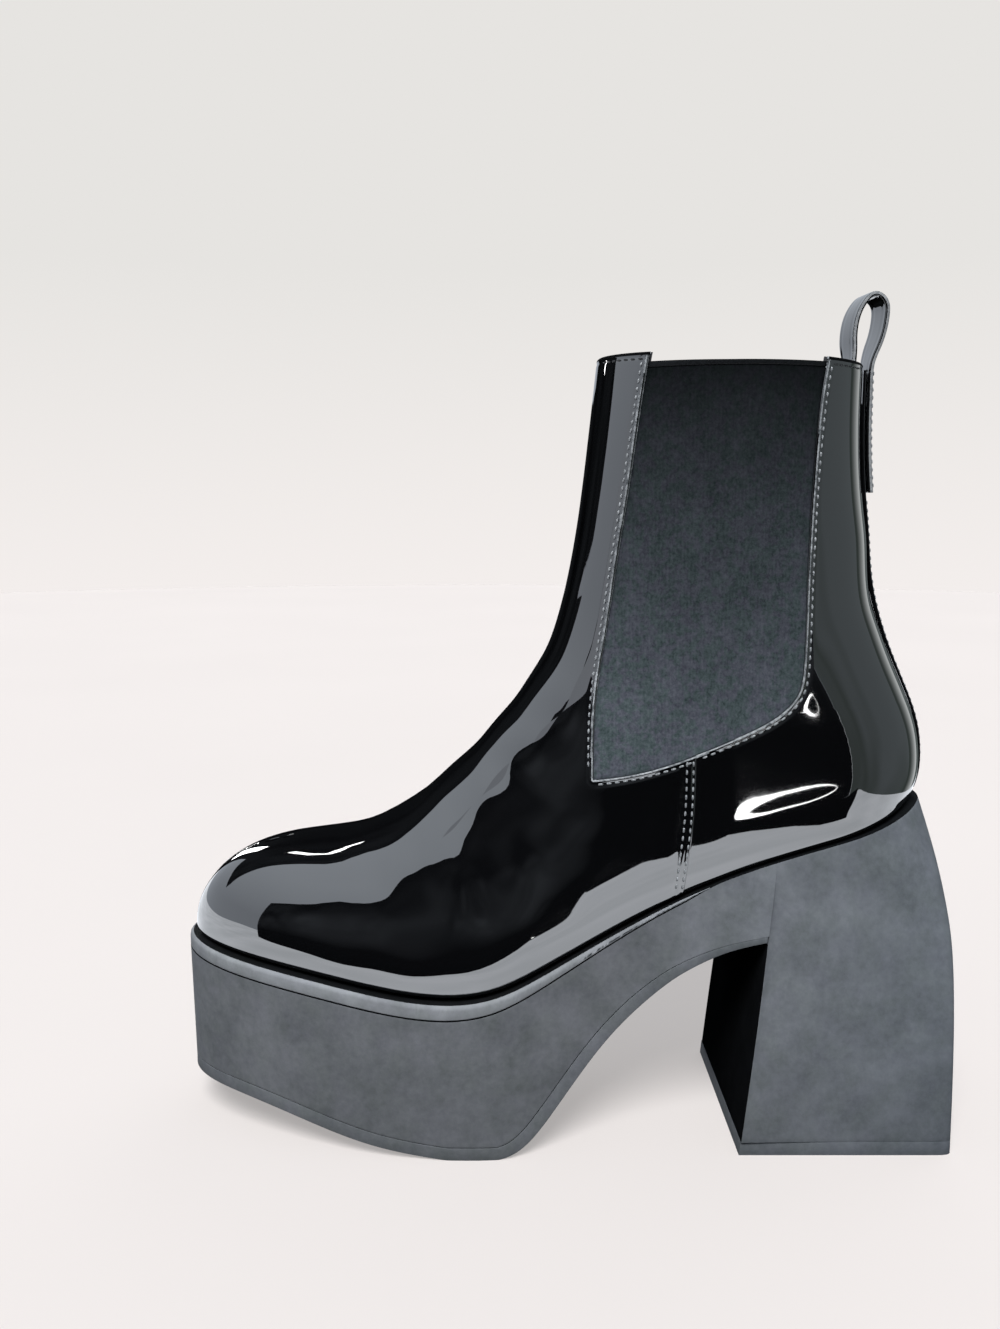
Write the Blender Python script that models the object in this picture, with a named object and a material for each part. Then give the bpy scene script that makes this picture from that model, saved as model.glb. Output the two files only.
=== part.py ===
"""Platform Chelsea boot in black patent leather, left foot.

Axes: +Z up, toe towards -Y, outer side of the foot towards +X. The origin is on the floor, under the middle of
the boot's bounding box. Sizes below are in millimetres, and MM turns them into Blender's metres.
"""
import bpy
import bmesh
import numpy as np

MM = 0.001
GAP = 0.3                 # clearance between pieces that touch

# upper
WALL = 1.9                # patent leather with its lining
SIDE_BULGE = 2.2          # how far the sides swell over the seat line
BULGE_HEIGHT = 13.0       # height of that swelling over the seat line
TOE_START = -46.0         # where the toe's rounding begins
TOE_TIP = -124.3          # upper's foremost point
TOE_POWER = 1.95          # 2 is a plain ellipse seen from above
ROUND_POWER = 2.1         # rounding of the heel and of the shaft, seen from above
COLLAR_BACK = 253.6
COLLAR_FRONT = 256.3
WIDENING_START = -60.0    # along the foot, where its widths begin to turn into the shaft's
WIDENING_LENGTH = 55.0
WIDENING_HEIGHT = 80.0    # and how high over the seat line that change is complete
SHAFT_START = 105.0       # heights over which the foot's cross-section turns into the shaft's
SHAFT_TURN = 60.0
CENTRE_START = 90.0       # heights over which the foot's curved centre line straightens
CENTRE_TURN = 90.0
LOOPS = 25                # rows of the upper, from the seat line to the collar
SIDE_STEPS = 27           # points of a row on each side of the boot
ROW_SPREAD = 1.2          # over 1 sets the rows closer together near the seat line
BACK_SPREAD = 1.6
ROW_STEEPNESS = 5.0       # how steeply the rows run up at the toe and the instep

# gores
GORE_DEPTH = 0.8          # how far the elastic lies behind the leather's face
GORE_THICKNESS = 1.4
GORE_TOP = 252.6
GORE_CUT_FROM = 8.0       # sideways reach of the cut-out
GORE_CUT_TO = 60.0
EDGE_POINTS = 60
GORE_COLUMNS = 13
GORE_ROWS = 15

# back strap and pull loop
STRAP_WIDTH = 13.0
STRAP_THICKNESS = 1.0
STRAP_TOP = 252.0
STRAP_BOTTOM = 113.5
LOOP_WIDTH = 12.0
LOOP_THICKNESS = 1.2

# sole
INSOLE = 2.4
INSOLE_STEP = 6.0         # spacing of the points along the insole's side
LEDGE_TOE = 3.3           # how far the sole's rim stands out beyond the upper, at the toe
LEDGE_HEEL = 0.9
LEDGE_START = -20.0       # along the foot, where the rim begins to narrow
LEDGE_LENGTH = 85.0
WELT_HEIGHT = 5.0
WELT_END_HEIGHT = 1.3
WELT_WIDTH = 9.5
WELT_END = 48.0           # where the welt runs out, at the waist
WELT_GROWTH = 90.0        # length over which it grows to its full height
OUTSOLE = 4.0
HEEL_TIP = 4.5
HEEL_BACK = 126.6
HEEL_HALF = 36.7
BREAST_FOOT = 57.6        # front face of the heel, at the floor
BREAST_TOP = 66.0         # and where it meets the arch
BREAST_TOP_Z = 69.6
TREAD_TIP = -125.2
RIM_TIP = TOE_TIP - 0.65 * LEDGE_TOE
CUTTER_GROWTH = 3.0       # how far a cutter reaches beyond the faces it opens


def table(columns, *rows):
    """Rows of numbers under named columns."""
    return dict(zip(columns.split(), np.array(rows, float).T))


# the seat line, where upper and sole meet: height, centre line and half width, before the ends are rounded
SEAT = table(
    "y z centre half",
    (-124.3, 62.0, -4.0, 41.3),
    (-100.0, 60.3, -3.6, 41.3),
    (-75.0, 57.6, -2.4, 41.3),
    (-52.0, 54.3, -0.4, 41.3),
    (-35.0, 52.9, 1.4, 40.0),
    (-20.0, 54.7, 2.8, 37.2),
    (-5.0, 60.8, 3.1, 33.8),
    (12.0, 69.2, 2.5, 30.6),
    (30.0, 78.3, 1.8, 29.1),
    (52.0, 88.2, 1.0, 29.1),
    (76.0, 96.5, 0.3, 29.9),
    (99.0, 103.6, 0.0, 30.3),
    (119.4, 111.0, 0.0, 30.3))

# middle line of the upper from the toe over the instep and up the shaft
FRONT_LINE = table(
    "y z",
    (-124.3, 62.0),
    (-123.9, 68.6),
    (-120.3, 77.2),
    (-112.7, 85.3),
    (-102.0, 90.9),
    (-89.0, 94.0),
    (-74.0, 96.2),
    (-58.0, 101.6),
    (-40.0, 114.6),
    (-24.0, 131.0),
    (-11.0, 147.0),
    (-1.5, 164.0),
    (3.4, 181.0),
    (7.0, 201.0),
    (10.4, 228.0),
    (13.4, COLLAR_FRONT))

# back seam, from the heel seat to the collar
BACK_LINE = table(
    "z y",
    (111.0, 119.4),
    (117.0, 121.3),
    (126.0, 121.9),
    (136.0, 120.4),
    (147.0, 116.4),
    (158.0, 111.7),
    (170.0, 107.4),
    (184.0, 104.2),
    (198.0, 102.9),
    (212.0, 101.5),
    (228.0, 100.5),
    (COLLAR_BACK, 100.6))

# the shaft by height: half width, and how far its front and back roundings reach
SHAFT = table(
    "z half front back",
    (100.0, 31.2, 72.0, 31.0),
    (130.0, 31.8, 58.0, 31.0),
    (160.0, 31.2, 44.0, 35.0),
    (190.0, 31.6, 42.0, 42.0),
    (222.0, 32.8, 43.0, 45.0),
    (258.0, 34.4, 46.0, 46.0))

# roundness of the foot's cross-section by length: 2 is an ellipse, more is squarer
SECTION = table(
    "y power",
    (-125.0, 2.2),
    (-90.0, 2.4),
    (-50.0, 2.15),
    (-15.0, 1.9),
    (20.0, 2.0))

# elastic gore seen from the side: front edge, lower edge and back edge
GORE_FRONT = table(
    "y z",
    (10.6, 121.5),
    (10.5, 130.0),
    (11.6, 149.0),
    (14.2, 165.0),
    (18.2, 191.6),
    (21.4, 213.0),
    (26.9, GORE_TOP))
GORE_LOWER = table(
    "y z",
    (10.6, 121.5),
    (24.0, 123.4),
    (41.7, 128.8),
    (58.0, 135.8),
    (68.4, 141.6),
    (74.4, 147.9),
    (76.6, 158.9))
GORE_BACK = table(
    "y z",
    (76.6, 158.9),
    (77.2, 172.0),
    (77.6, 187.0),
    (79.0, 215.0),
    (82.9, GORE_TOP))

# ground side of the outsole seen from the side, from inside the heel block along the arch to the toe
TREAD = table(
    "y z",
    (72.0, 71.4),
    (BREAST_TOP, BREAST_TOP_Z),
    (54.0, 65.6),
    (45.2, 61.3),
    (37.6, 56.7),
    (30.0, 50.8),
    (22.0, 43.6),
    (14.4, 35.6),
    (7.0, 26.4),
    (0.0, 17.0),
    (-6.5, 8.6),
    (-11.0, 4.0),
    (-15.0, 1.4),
    (-19.5, 0.0),
    (-36.0, 0.0),
    (-46.0, 1.4),
    (-61.0, 4.1),
    (-77.0, 8.2),
    (-92.0, 11.9),
    (-106.0, 13.9),
    (TREAD_TIP, 14.2))

# heel block by height: back face, half width and squareness of its back corners
HEEL = table(
    "z back half power",
    (0.0, HEEL_BACK, HEEL_HALF, 22.0),
    (48.0, 126.5, 36.5, 22.0),
    (66.0, 126.4, 35.2, 15.0),
    (78.0, 126.2, 34.0, 8.0),
    (88.0, 125.9, 32.9, 4.6),
    (97.0, 125.3, 32.1, 3.0),
    (105.0, 124.0, 31.5, 2.3),
    (111.0, 122.4, 31.2, 2.1))
HEEL_ROUND = 31.0         # how far the rounding of the heel's back reaches forwards
BREAST_RIM = 72.5         # rim's place over the heel's front corner
RIM_STEP = 3.0            # length of rim over the heel's front face
SOLE_LEVELS = (0.0, 0.05, 0.11, 0.18, 0.26, 0.36, 0.5, 0.75, 1.0)
HEEL_STEPS = 9            # points round half of the heel's back
SIDE_STEPS_HEEL = 3       # along the heel's side
BREAST_STEPS = 3          # up its front face
ARCH_STEPS = 18           # from the heel to the toe's rounding
TOE_STEPS = 12            # round half of the toe

# half width of the tread
TREAD_HALF = table(
    "y half",
    (BREAST_TOP, 34.2),
    (52.0, 31.8),
    (36.0, 30.0),
    (16.0, 30.6),
    (-6.0, 34.4),
    (-22.0, 37.2),
    (-46.0, 39.2),
    (-125.0, 39.2))

# free part of the pull loop seen from the side, from inside the collar round to the back strap
LOOP_PATH = table(
    "y z",
    (97.2, 255.6),
    (96.8, 262.0),
    (97.3, 268.0),
    (99.6, 273.8),
    (103.4, 276.9),
    (106.4, 275.0),
    (107.2, 270.0),
    (106.0, 263.5),
    (103.8, 256.6))
LOOP_INSIDE = 241.0       # lower ends of the loop's legs, inside the collar and on the back strap
LOOP_OUTSIDE = 212.0
LOOP_JOIN = 5.0           # height over which the free loop runs into its legs


# ---------------------------------------------------------------- curves

class Curve:
    """Smooth curve through (x, y): a natural cubic spline."""

    def __init__(self, x, y):
        order = np.argsort(x)
        self.x = np.asarray(x, float)[order]
        self.y = np.asarray(y, float)[order]
        step = np.diff(self.x)
        slope = np.diff(self.y) / step
        size = len(self.x)
        matrix = np.eye(size)
        right = np.zeros(size)
        for i in range(1, size - 1):
            matrix[i, i - 1:i + 2] = (step[i - 1], 2 * (step[i - 1] + step[i]), step[i])
            right[i] = 6 * (slope[i] - slope[i - 1])
        self.bend = np.linalg.solve(matrix, right)

    def __call__(self, x):
        x = np.clip(x, self.x[0], self.x[-1])
        i = np.clip(np.searchsorted(self.x, x) - 1, 0, len(self.x) - 2)
        step = self.x[i + 1] - self.x[i]
        after = self.x[i + 1] - x
        before = x - self.x[i]
        left = self.y[i] / step - self.bend[i] * step / 6
        right = self.y[i + 1] / step - self.bend[i + 1] * step / 6
        cubic = (self.bend[i] * after ** 3 + self.bend[i + 1] * before ** 3) / (6 * step)
        return cubic + left * after + right * before


def path(rows, count=400):
    """A smooth line through (y, z) rows, as count points evenly along its length."""
    points = np.stack([rows["y"], rows["z"]], 1)
    reach = np.concatenate([[0], np.cumsum(np.linalg.norm(np.diff(points, axis=0), axis=1))])
    fine = np.linspace(0, reach[-1], count * 4)
    line = np.stack([Curve(reach, points[:, 0])(fine), Curve(reach, points[:, 1])(fine)], 1)
    length = np.concatenate([[0], np.cumsum(np.linalg.norm(np.diff(line, axis=0), axis=1))])
    even = np.linspace(0, length[-1], count)
    return np.stack([np.interp(even, length, line[:, 0]), np.interp(even, length, line[:, 1])], 1)


def along(line, part):
    """The point at a fraction of the length of an evenly spaced line."""
    place = np.clip(part, 0, 1) * (len(line) - 1)
    index = np.arange(len(line))
    return np.stack([np.interp(place, index, line[:, 0]), np.interp(place, index, line[:, 1])], -1)


def offset(line, distance):
    """A side-view line moved to its left by distance."""
    run = np.gradient(line, axis=0)
    run /= np.linalg.norm(run, axis=1)[:, None]
    return line + distance * np.stack([-run[:, 1], run[:, 0]], 1)


def smooth(value):
    """0 below 0, 1 above 1, with a soft S between."""
    value = np.clip(value, 0, 1)
    return value * value * (3 - 2 * value)


def blend(first, second, share):
    return first + (second - first) * share


def arch(value, power):
    """Height of a rounded arch: 1 at value 0, falling to 0 at value 1."""
    return np.clip(1 - np.clip(value, 0, 1) ** power, 0, 1) ** (1 / power)


seat_z = Curve(SEAT["y"], SEAT["z"])
seat_centre = Curve(SEAT["y"], SEAT["centre"])
seat_half = Curve(SEAT["y"], SEAT["half"])
front_line = path(FRONT_LINE)
back_y = Curve(BACK_LINE["z"], BACK_LINE["y"])
shaft_half = Curve(SHAFT["z"], SHAFT["half"])
shaft_front = Curve(SHAFT["z"], SHAFT["front"])
shaft_back = Curve(SHAFT["z"], SHAFT["back"])
section_power = Curve(SECTION["y"], SECTION["power"])
tread_line = path(TREAD)
tread_line[:, 1] = np.maximum(tread_line[:, 1], 0)
tread_half = Curve(TREAD_HALF["y"], TREAD_HALF["half"])
heel_back = Curve(HEEL["z"], HEEL["back"])
heel_half = Curve(HEEL["z"], HEEL["half"])
heel_power = Curve(HEEL["z"], HEEL["power"])


# ---------------------------------------------------------------- form of the upper

def toe_round(y):
    return arch((TOE_START - y) / (TOE_START - TOE_TIP), TOE_POWER)


def ridge_z(y):
    """Height of the upper's middle line over the foot; behind the shaft's front it runs on steeply."""
    behind = np.maximum(y - front_line[-1, 0], 0)
    return np.interp(y, front_line[:, 0], front_line[:, 1]) + behind * ROW_STEEPNESS


def front_y(z):
    return np.interp(z, front_line[:, 1], front_line[:, 0])


def half_width(y, z):
    """Half width of the upper at a place seen from the side."""
    over_seat = np.maximum(z - seat_z(y), 0)
    to_shaft = smooth(over_seat / WIDENING_HEIGHT) * smooth((y - WIDENING_START) / WIDENING_LENGTH)
    swell = over_seat / BULGE_HEIGHT * np.exp(1 - over_seat / BULGE_HEIGHT)
    half = seat_half(y) * (1 - to_shaft) + shaft_half(z) * to_shaft + SIDE_BULGE * swell
    foot = np.clip(over_seat / np.maximum(ridge_z(y) - seat_z(y), MM), 0, 1)
    shaft = np.clip(1 - (y - front_y(z)) / shaft_front(z), 0, 1)
    up = smooth((z - SHAFT_START) / SHAFT_TURN)
    to_front = foot * (1 - up) + shaft * up
    power = section_power(y) * (1 - up) + ROUND_POWER * up
    to_back = 1 - (back_y(z) - y) / shaft_back(z)
    return half * toe_round(y) * arch(to_front, power) * arch(to_back, ROUND_POWER)


def centre_x(y, z):
    return seat_centre(y) * (1 - smooth((z - CENTRE_START) / CENTRE_TURN))


def upper_point(y, z, side):
    """Point of the upper's outer face: side is 1 for the outer side and -1 for the inner."""
    return np.stack([centre_x(y, z) + side * half_width(y, z), y + 0 * z, z + 0 * y], -1)


def upper_frame(y, z, side, step=0.5):
    """Points of the upper's outer face and its outward normals there."""
    along_y = upper_point(y + step, z, side) - upper_point(y - step, z, side)
    along_z = upper_point(y, z + step, side) - upper_point(y, z - step, side)
    normal = np.cross(along_y, along_z) * side
    return upper_point(y, z, side), normal / np.linalg.norm(normal, axis=-1)[..., None]


def collar_z(y):
    front, back = front_line[-1, 0], float(back_y(COLLAR_BACK))
    return COLLAR_BACK + (COLLAR_FRONT - COLLAR_BACK) * (back - y) / (back - front)


def row_path(v, steps):
    """Side view of one row of the upper, from the back seam to the middle line. Rows leave the toe and the
    instep steeply, then run back along the side."""
    front = along(front_line, v)
    back_z = BACK_LINE["z"][0] + (COLLAR_BACK - BACK_LINE["z"][0]) * v ** BACK_SPREAD
    back = np.array([float(back_y(back_z)), back_z])
    s = (1 - np.cos(np.pi * np.arange(steps + 1) / steps)) / 2
    y = back[0] + (front[0] - back[0]) * s
    flat = smooth((v - 0.35) / 0.6)
    back_seat, front_seat = seat_z(back[0]), seat_z(front[0])
    ground = seat_z(y) * (1 - flat) + (back_seat + (front_seat - back_seat) * s) * flat
    back_up, front_up = back[1] - back_seat, front[1] - front_seat
    steep = 1 + ROW_STEEPNESS * np.sin(np.pi * min(1, v * 1.15)) ** 2
    return y, ground + back_up + (front_up - back_up) * s ** steep


def upper_grid():
    """Rows of the outer face, each from the back seam round the outer side, the toe and the inner side."""
    rows = []
    for v in np.linspace(0, 1, LOOPS) ** ROW_SPREAD:
        y, z = row_path(v, SIDE_STEPS)
        outer = upper_point(y, z, 1)
        inner = upper_point(y, z, -1)
        outer[[0, -1], 0] = centre_x(y, z)[[0, -1]]
        rows.append(np.concatenate([outer, inner[-2:0:-1]]))
    return np.array(rows)


def grid_normals(grid):
    """Outward normals of closed rows."""
    around = np.roll(grid, -1, axis=1) - np.roll(grid, 1, axis=1)
    up = np.gradient(grid, axis=0)
    normal = np.cross(up, around)
    return normal / np.linalg.norm(normal, axis=2)[:, :, None]


def moved_in(grid, depth):
    """The rows moved inwards by depth, with both open edges kept at their heights."""
    inner = grid - grid_normals(grid) * depth
    inner[0, :, 2] = seat_z(inner[0, :, 1])
    inner[-1, :, 2] = collar_z(inner[-1, :, 1])
    return inner


# ---------------------------------------------------------------- meshes

def material(name, colour, roughness):
    made = bpy.data.materials.new(name)
    made.use_nodes = True
    shader = made.node_tree.nodes["Principled BSDF"]
    shader.inputs["Base Color"].default_value = (*colour, 1)
    shader.inputs["Roughness"].default_value = roughness
    shader.inputs["Metallic"].default_value = 0
    made.diffuse_color = (*colour, 1)
    return made


def add_object(name, points, faces, finish, smooth_angle=35):
    """A closed mesh from points in millimetres."""
    mesh = bpy.data.meshes.new(name)
    mesh.from_pydata((np.asarray(points) * MM).tolist(), [], faces)
    work = bmesh.new()
    work.from_mesh(mesh)
    bmesh.ops.recalc_face_normals(work, faces=work.faces)
    work.to_mesh(mesh)
    work.free()
    mesh.materials.append(finish)
    mesh.shade_smooth()
    mesh.set_sharp_from_angle(angle=np.radians(smooth_angle))
    made = bpy.data.objects.new(name, mesh)
    bpy.context.scene.collection.objects.link(made)
    return made


def strip(first, second):
    """Faces between two closed rings of point numbers."""
    count = len(first)
    return [(first[i], first[(i + 1) % count], second[(i + 1) % count], second[i]) for i in range(count)]


def ladder(ring):
    """Faces across a ring whose points pair up left and right."""
    count = len(ring)
    half = count // 2
    faces = [(ring[-2], ring[-1], ring[0], ring[1], ring[2])]
    faces += [(ring[i], ring[i + 1], ring[count - i - 1], ring[count - i]) for i in range(2, half - 2)]
    faces.append((ring[half - 2], ring[half - 1], ring[half], ring[half + 1], ring[half + 2]))
    return faces


def ring_numbers(rows, count):
    return [list(range(row * count, (row + 1) * count)) for row in range(rows)]


def shell(name, outer, inner, finish):
    """A wall between two grids of closed rows, open inside."""
    rows, count = outer.shape[:2]
    outside = ring_numbers(rows, count)
    inside = [[n + rows * count for n in ring] for ring in outside]
    faces = []
    for row in range(rows - 1):
        faces += strip(outside[row], outside[row + 1]) + strip(inside[row], inside[row + 1])
    faces += strip(outside[0], inside[0]) + strip(outside[-1], inside[-1])
    return add_object(name, np.concatenate([outer.reshape(-1, 3), inner.reshape(-1, 3)]), faces, finish)


def stack(name, rings, finish, smooth_angle=35):
    """A solid between the first and the last of its rings, whose points pair up left and right."""
    count = len(rings[0])
    numbers = ring_numbers(len(rings), count)
    faces = ladder(numbers[0]) + ladder(numbers[-1])
    for first, second in zip(numbers, numbers[1:]):
        faces += strip(first, second)
    return add_object(name, np.concatenate(rings), faces, finish, smooth_angle)


def sheet(name, face, back, finish):
    """A thin solid between two open grids of the same shape."""
    rows, count = face.shape[:2]
    number = np.arange(rows * count).reshape(rows, count)
    faces = []
    for layer in (number, number + rows * count):
        for i in range(rows - 1):
            for j in range(count - 1):
                faces.append((layer[i, j], layer[i, j + 1], layer[i + 1, j + 1], layer[i + 1, j]))
    border = np.concatenate([number[0, :-1], number[:-1, -1], number[-1, :0:-1], number[:0:-1, 0]])
    faces += strip(list(border), list(border + rows * count))
    faces = [tuple(int(n) for n in item) for item in faces]
    return add_object(name, np.concatenate([face.reshape(-1, 3), back.reshape(-1, 3)]), faces, finish)


def cut(target, cutter):
    """Takes the cutter out of the target."""
    modifier = target.modifiers.new("cut_" + cutter.name, "BOOLEAN")
    modifier.operation = "DIFFERENCE"
    modifier.solver = "EXACT"
    modifier.object = cutter
    cutter.hide_render = True
    cutter.display_type = "WIRE"


def prism(name, outline, low, high):
    """A cutter with a side-view outline, from x = low to x = high."""
    count = len(outline)
    points = [(x, y, z) for x in (low, high) for y, z in outline]
    faces = [tuple(range(count)), tuple(range(2 * count - 1, count - 1, -1))]
    faces += strip(list(range(count)), list(range(count, 2 * count)))
    return add_object(name, points, faces, PATENT)


# ---------------------------------------------------------------- upper and what is sewn to it

def gore_edges(inset):
    """Front, lower and back edges of the gore, moved into the gore by inset, as evenly spaced lines."""
    front = offset(path(GORE_FRONT, EDGE_POINTS), -inset)
    lower = offset(path(GORE_LOWER, EDGE_POINTS), inset)
    back = offset(path(GORE_BACK, EDGE_POINTS), inset)
    front[0] = lower[0] = front[0] + (0, inset)
    lower[-1] = back[0] = (lower[-1] + back[0]) / 2
    return front, lower, back


def gore_cutter(side):
    front, lower, back = gore_edges(0)
    outline = [tuple(along(lower, part)) for part in np.linspace(0, 1, GORE_COLUMNS)]
    outline += [tuple(along(back, part)) for part in np.linspace(0, 1, GORE_ROWS)[1:]]
    above = COLLAR_FRONT + CUTTER_GROWTH
    outline += [(back[-1, 0], above), (front[-1, 0], above)]
    outline += [tuple(along(front, part)) for part in np.linspace(1, 0, GORE_ROWS)[:-1]]
    low, high = sorted((side * GORE_CUT_FROM, side * GORE_CUT_TO))
    return prism("gore_cutter_" + ("outer" if side > 0 else "inner"), outline, low, high)


def gore_panel(side, name):
    """Elastic panel inside its cut-out, a little behind the leather's face."""
    front, lower, back = gore_edges(GAP)
    top_front, top_back = front[-1], back[-1]
    a, b = np.meshgrid(np.linspace(0, 1, GORE_COLUMNS), np.linspace(0, 1, GORE_ROWS))
    left, right, low = along(front, b), along(back, b), along(lower, a)
    top = top_front + (top_back - top_front) * a[..., None]
    a, b = a[..., None], b[..., None]
    corners = blend(blend(lower[0], lower[-1], a), blend(top_front, top_back, a), b)
    seen = blend(left, right, a) + blend(low, top, b) - corners
    face, normal = upper_frame(seen[..., 0], seen[..., 1], side)
    inwards = np.zeros(face.shape)
    inwards[..., 0] = -1 / normal[..., 0]
    return sheet(name, face + inwards * GORE_DEPTH, face + inwards * (GORE_DEPTH + GORE_THICKNESS), ELASTIC)


def back_face(x, z):
    """Point of the upper's back at a height and a distance from the seam."""
    share = np.abs(x) / shaft_half(z)
    reach = shaft_back(z) * (1 - np.clip(1 - share ** ROUND_POWER, 0, 1) ** (1 / ROUND_POWER))
    return np.stack([x + 0 * z, back_y(z) - reach, z + 0 * x], -1)


def back_strap():
    x, z = np.meshgrid(np.linspace(-0.5, 0.5, 7) * STRAP_WIDTH, np.linspace(STRAP_BOTTOM, STRAP_TOP, 26))
    face = back_face(x, z)
    across, up = np.gradient(face, axis=1), np.gradient(face, axis=0)
    normal = np.cross(up, across)
    normal /= np.linalg.norm(normal, axis=2)[..., None]
    return sheet("back_strap", face + normal * (GAP + STRAP_THICKNESS), face + normal * GAP, PATENT)


def loop_line():
    """The loop's middle line: up inside the collar, round, and down over the back strap."""
    inside_z = np.linspace(LOOP_INSIDE, LOOP_PATH["z"][0] - LOOP_JOIN, 4)
    outside_z = np.linspace(LOOP_PATH["z"][-1] - LOOP_JOIN, LOOP_OUTSIDE, 8)
    inside_y = back_y(inside_z) - WALL - 3 * GAP - LOOP_THICKNESS / 2
    outside_y = back_y(outside_z) + 2 * GAP + STRAP_THICKNESS + LOOP_THICKNESS / 2
    y = np.concatenate([inside_y, LOOP_PATH["y"], outside_y])
    z = np.concatenate([inside_z, LOOP_PATH["z"], outside_z])
    return path({"y": y, "z": z}, 44)


def pull_loop():
    line = loop_line()
    outer, inner = offset(line, LOOP_THICKNESS / 2), offset(line, -LOOP_THICKNESS / 2)
    x = np.array([-0.5, 0.5]) * LOOP_WIDTH
    face, back = (np.array([[(across, y, z) for across in x] for y, z in edge]) for edge in (outer, inner))
    return sheet("pull_loop", face, back, PATENT)


# ---------------------------------------------------------------- sole

def ledge(y):
    """How far the sole's rim stands out beyond the upper."""
    return LEDGE_TOE + (LEDGE_HEEL - LEDGE_TOE) * smooth((y - LEDGE_START) / LEDGE_LENGTH)


def toe_end(tip, half):
    """The rounded toe from TOE_START forwards: y and half width."""
    turn = np.linspace(0, np.pi / 2, TOE_STEPS + 1)[1:]
    y = TOE_START - (TOE_START - tip) * np.sin(turn)
    return y, half(y) * np.clip(np.cos(turn), 0, 1) ** (2 / TOE_POWER)


def foot_edge(start, steps, tip, half):
    """One side of an outline from y = start to the toe's tip."""
    y = np.linspace(start, TOE_START, steps + 1)
    toe_y, toe_half = toe_end(tip, half)
    return np.concatenate([y, toe_y]), np.concatenate([half(y), toe_half])


def rim_half(y):
    return seat_half(y) + ledge(y)


def tread_edge(depth, gap):
    """One side of the tread, depth above the ground side, from the heel's front face to the toe: y, half width
    and z. Every depth takes its points straight above the same places of the ground side."""
    toe_y, toe_half = toe_end(TREAD_TIP, tread_half)
    count = np.arange(len(tread_line))
    heel_end = np.interp(-BREAST_TOP, -tread_line[:, 0], count)
    arch_place = np.linspace(heel_end, np.interp(-TOE_START, -tread_line[:, 0], count), ARCH_STEPS + 1)
    place = np.concatenate([arch_place, np.interp(-toe_y, -tread_line[:, 0], count)])
    above = offset(tread_line, -depth)
    free = above[:, 0] - breast_y(above[:, 1]) + gap
    place[0] = np.interp(0, -free, count)
    y, z = (np.interp(place, count, above[:, axis]) for axis in (0, 1))
    arch_half = tread_half(np.interp(arch_place, count, tread_line[:, 0]))
    return y, np.concatenate([arch_half, toe_half]), z


def heel_plan(z, turn):
    """Rounded back of the heel at a height: y and half width, for turn from 0 to 90 degrees."""
    power = 2 / heel_power(z)
    back = heel_back(z) - HEEL_ROUND * (1 - np.cos(turn) ** power)
    return back, heel_half(z) * np.sin(turn) ** power


def breast_y(z):
    """Front face of the heel."""
    return BREAST_FOOT + (BREAST_TOP - BREAST_FOOT) * z / BREAST_TOP_Z


def pair(y, half, z, centre):
    """A ring of paired points: along the outer side from heel to toe, and back along the inner side."""
    outer = np.stack([centre + half, y, z], 1)
    inner = np.stack([centre - half, y, z], 1)
    return np.concatenate([outer, inner[-2:0:-1]])


def flat_start(y, half, z, centre):
    """The same outline starting on the middle of a flat back edge."""
    starts = ((y[0], y), (0.0, half), (z[0], z), (centre[0], centre))
    return [np.concatenate([[first], values]) for first, values in starts]


def sole_unit():
    """Platform, arch and heel block as one moulding. Its rings go from the rim down to the tread; their points
    run round the heel's back, along its side, over its front face, and along the arch to the toe."""
    turn = np.linspace(0, np.pi / 2, HEEL_STEPS + 1)
    floor, top = HEEL_TIP + GAP, HEEL["z"][-1]
    tread_y, tread_half_width, tread_z = tread_edge(OUTSOLE + GAP, 0)
    rim_y, rim_half_width = foot_edge(BREAST_RIM - RIM_STEP, ARCH_STEPS, RIM_TIP, rim_half)
    rim_back = heel_plan(top, turn)[0]
    side = np.arange(1, SIDE_STEPS_HEEL + 1) / SIDE_STEPS_HEEL
    rim_side = blend(rim_back[-1], BREAST_RIM, side)
    spare = heel_half(seat_z(rim_side)) - rim_half(rim_side)
    climb = np.arange(1, BREAST_STEPS + 1) / (BREAST_STEPS + 1)
    front_z = blend(floor, tread_z[0], climb)
    front_y = BREAST_RIM - RIM_STEP * climb
    rings = []
    for v in SOLE_LEVELS:
        back, back_half = heel_plan(blend(top, floor, v), turn)
        back_z = blend(seat_z(rim_back) - GAP, floor, v)
        side_z = blend(seat_z(rim_side) - GAP, floor, v)
        side_y = blend(back[-1], blend(BREAST_RIM, breast_y(floor), v), side)
        side_half = heel_half(side_z) - spare * (1 - v) ** 2
        y = np.concatenate([back, side_y, blend(front_y, breast_y(front_z), v), blend(rim_y, tread_y, v)])
        z = np.concatenate([
            back_z, side_z, blend(seat_z(front_y) - GAP, front_z, v), blend(seat_z(rim_y) - GAP, tread_z, v)])
        half = np.concatenate([
            back_half, side_half, blend(rim_half(front_y), heel_half(front_z), v),
            blend(rim_half_width, tread_half_width, v)])
        rings.append(pair(y, half, z, seat_centre(y)))
    unit = stack("platform_heel", rings, RUBBER)
    cut(unit, welt_form("welt_cutter", CUTTER_GROWTH, GAP))


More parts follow.
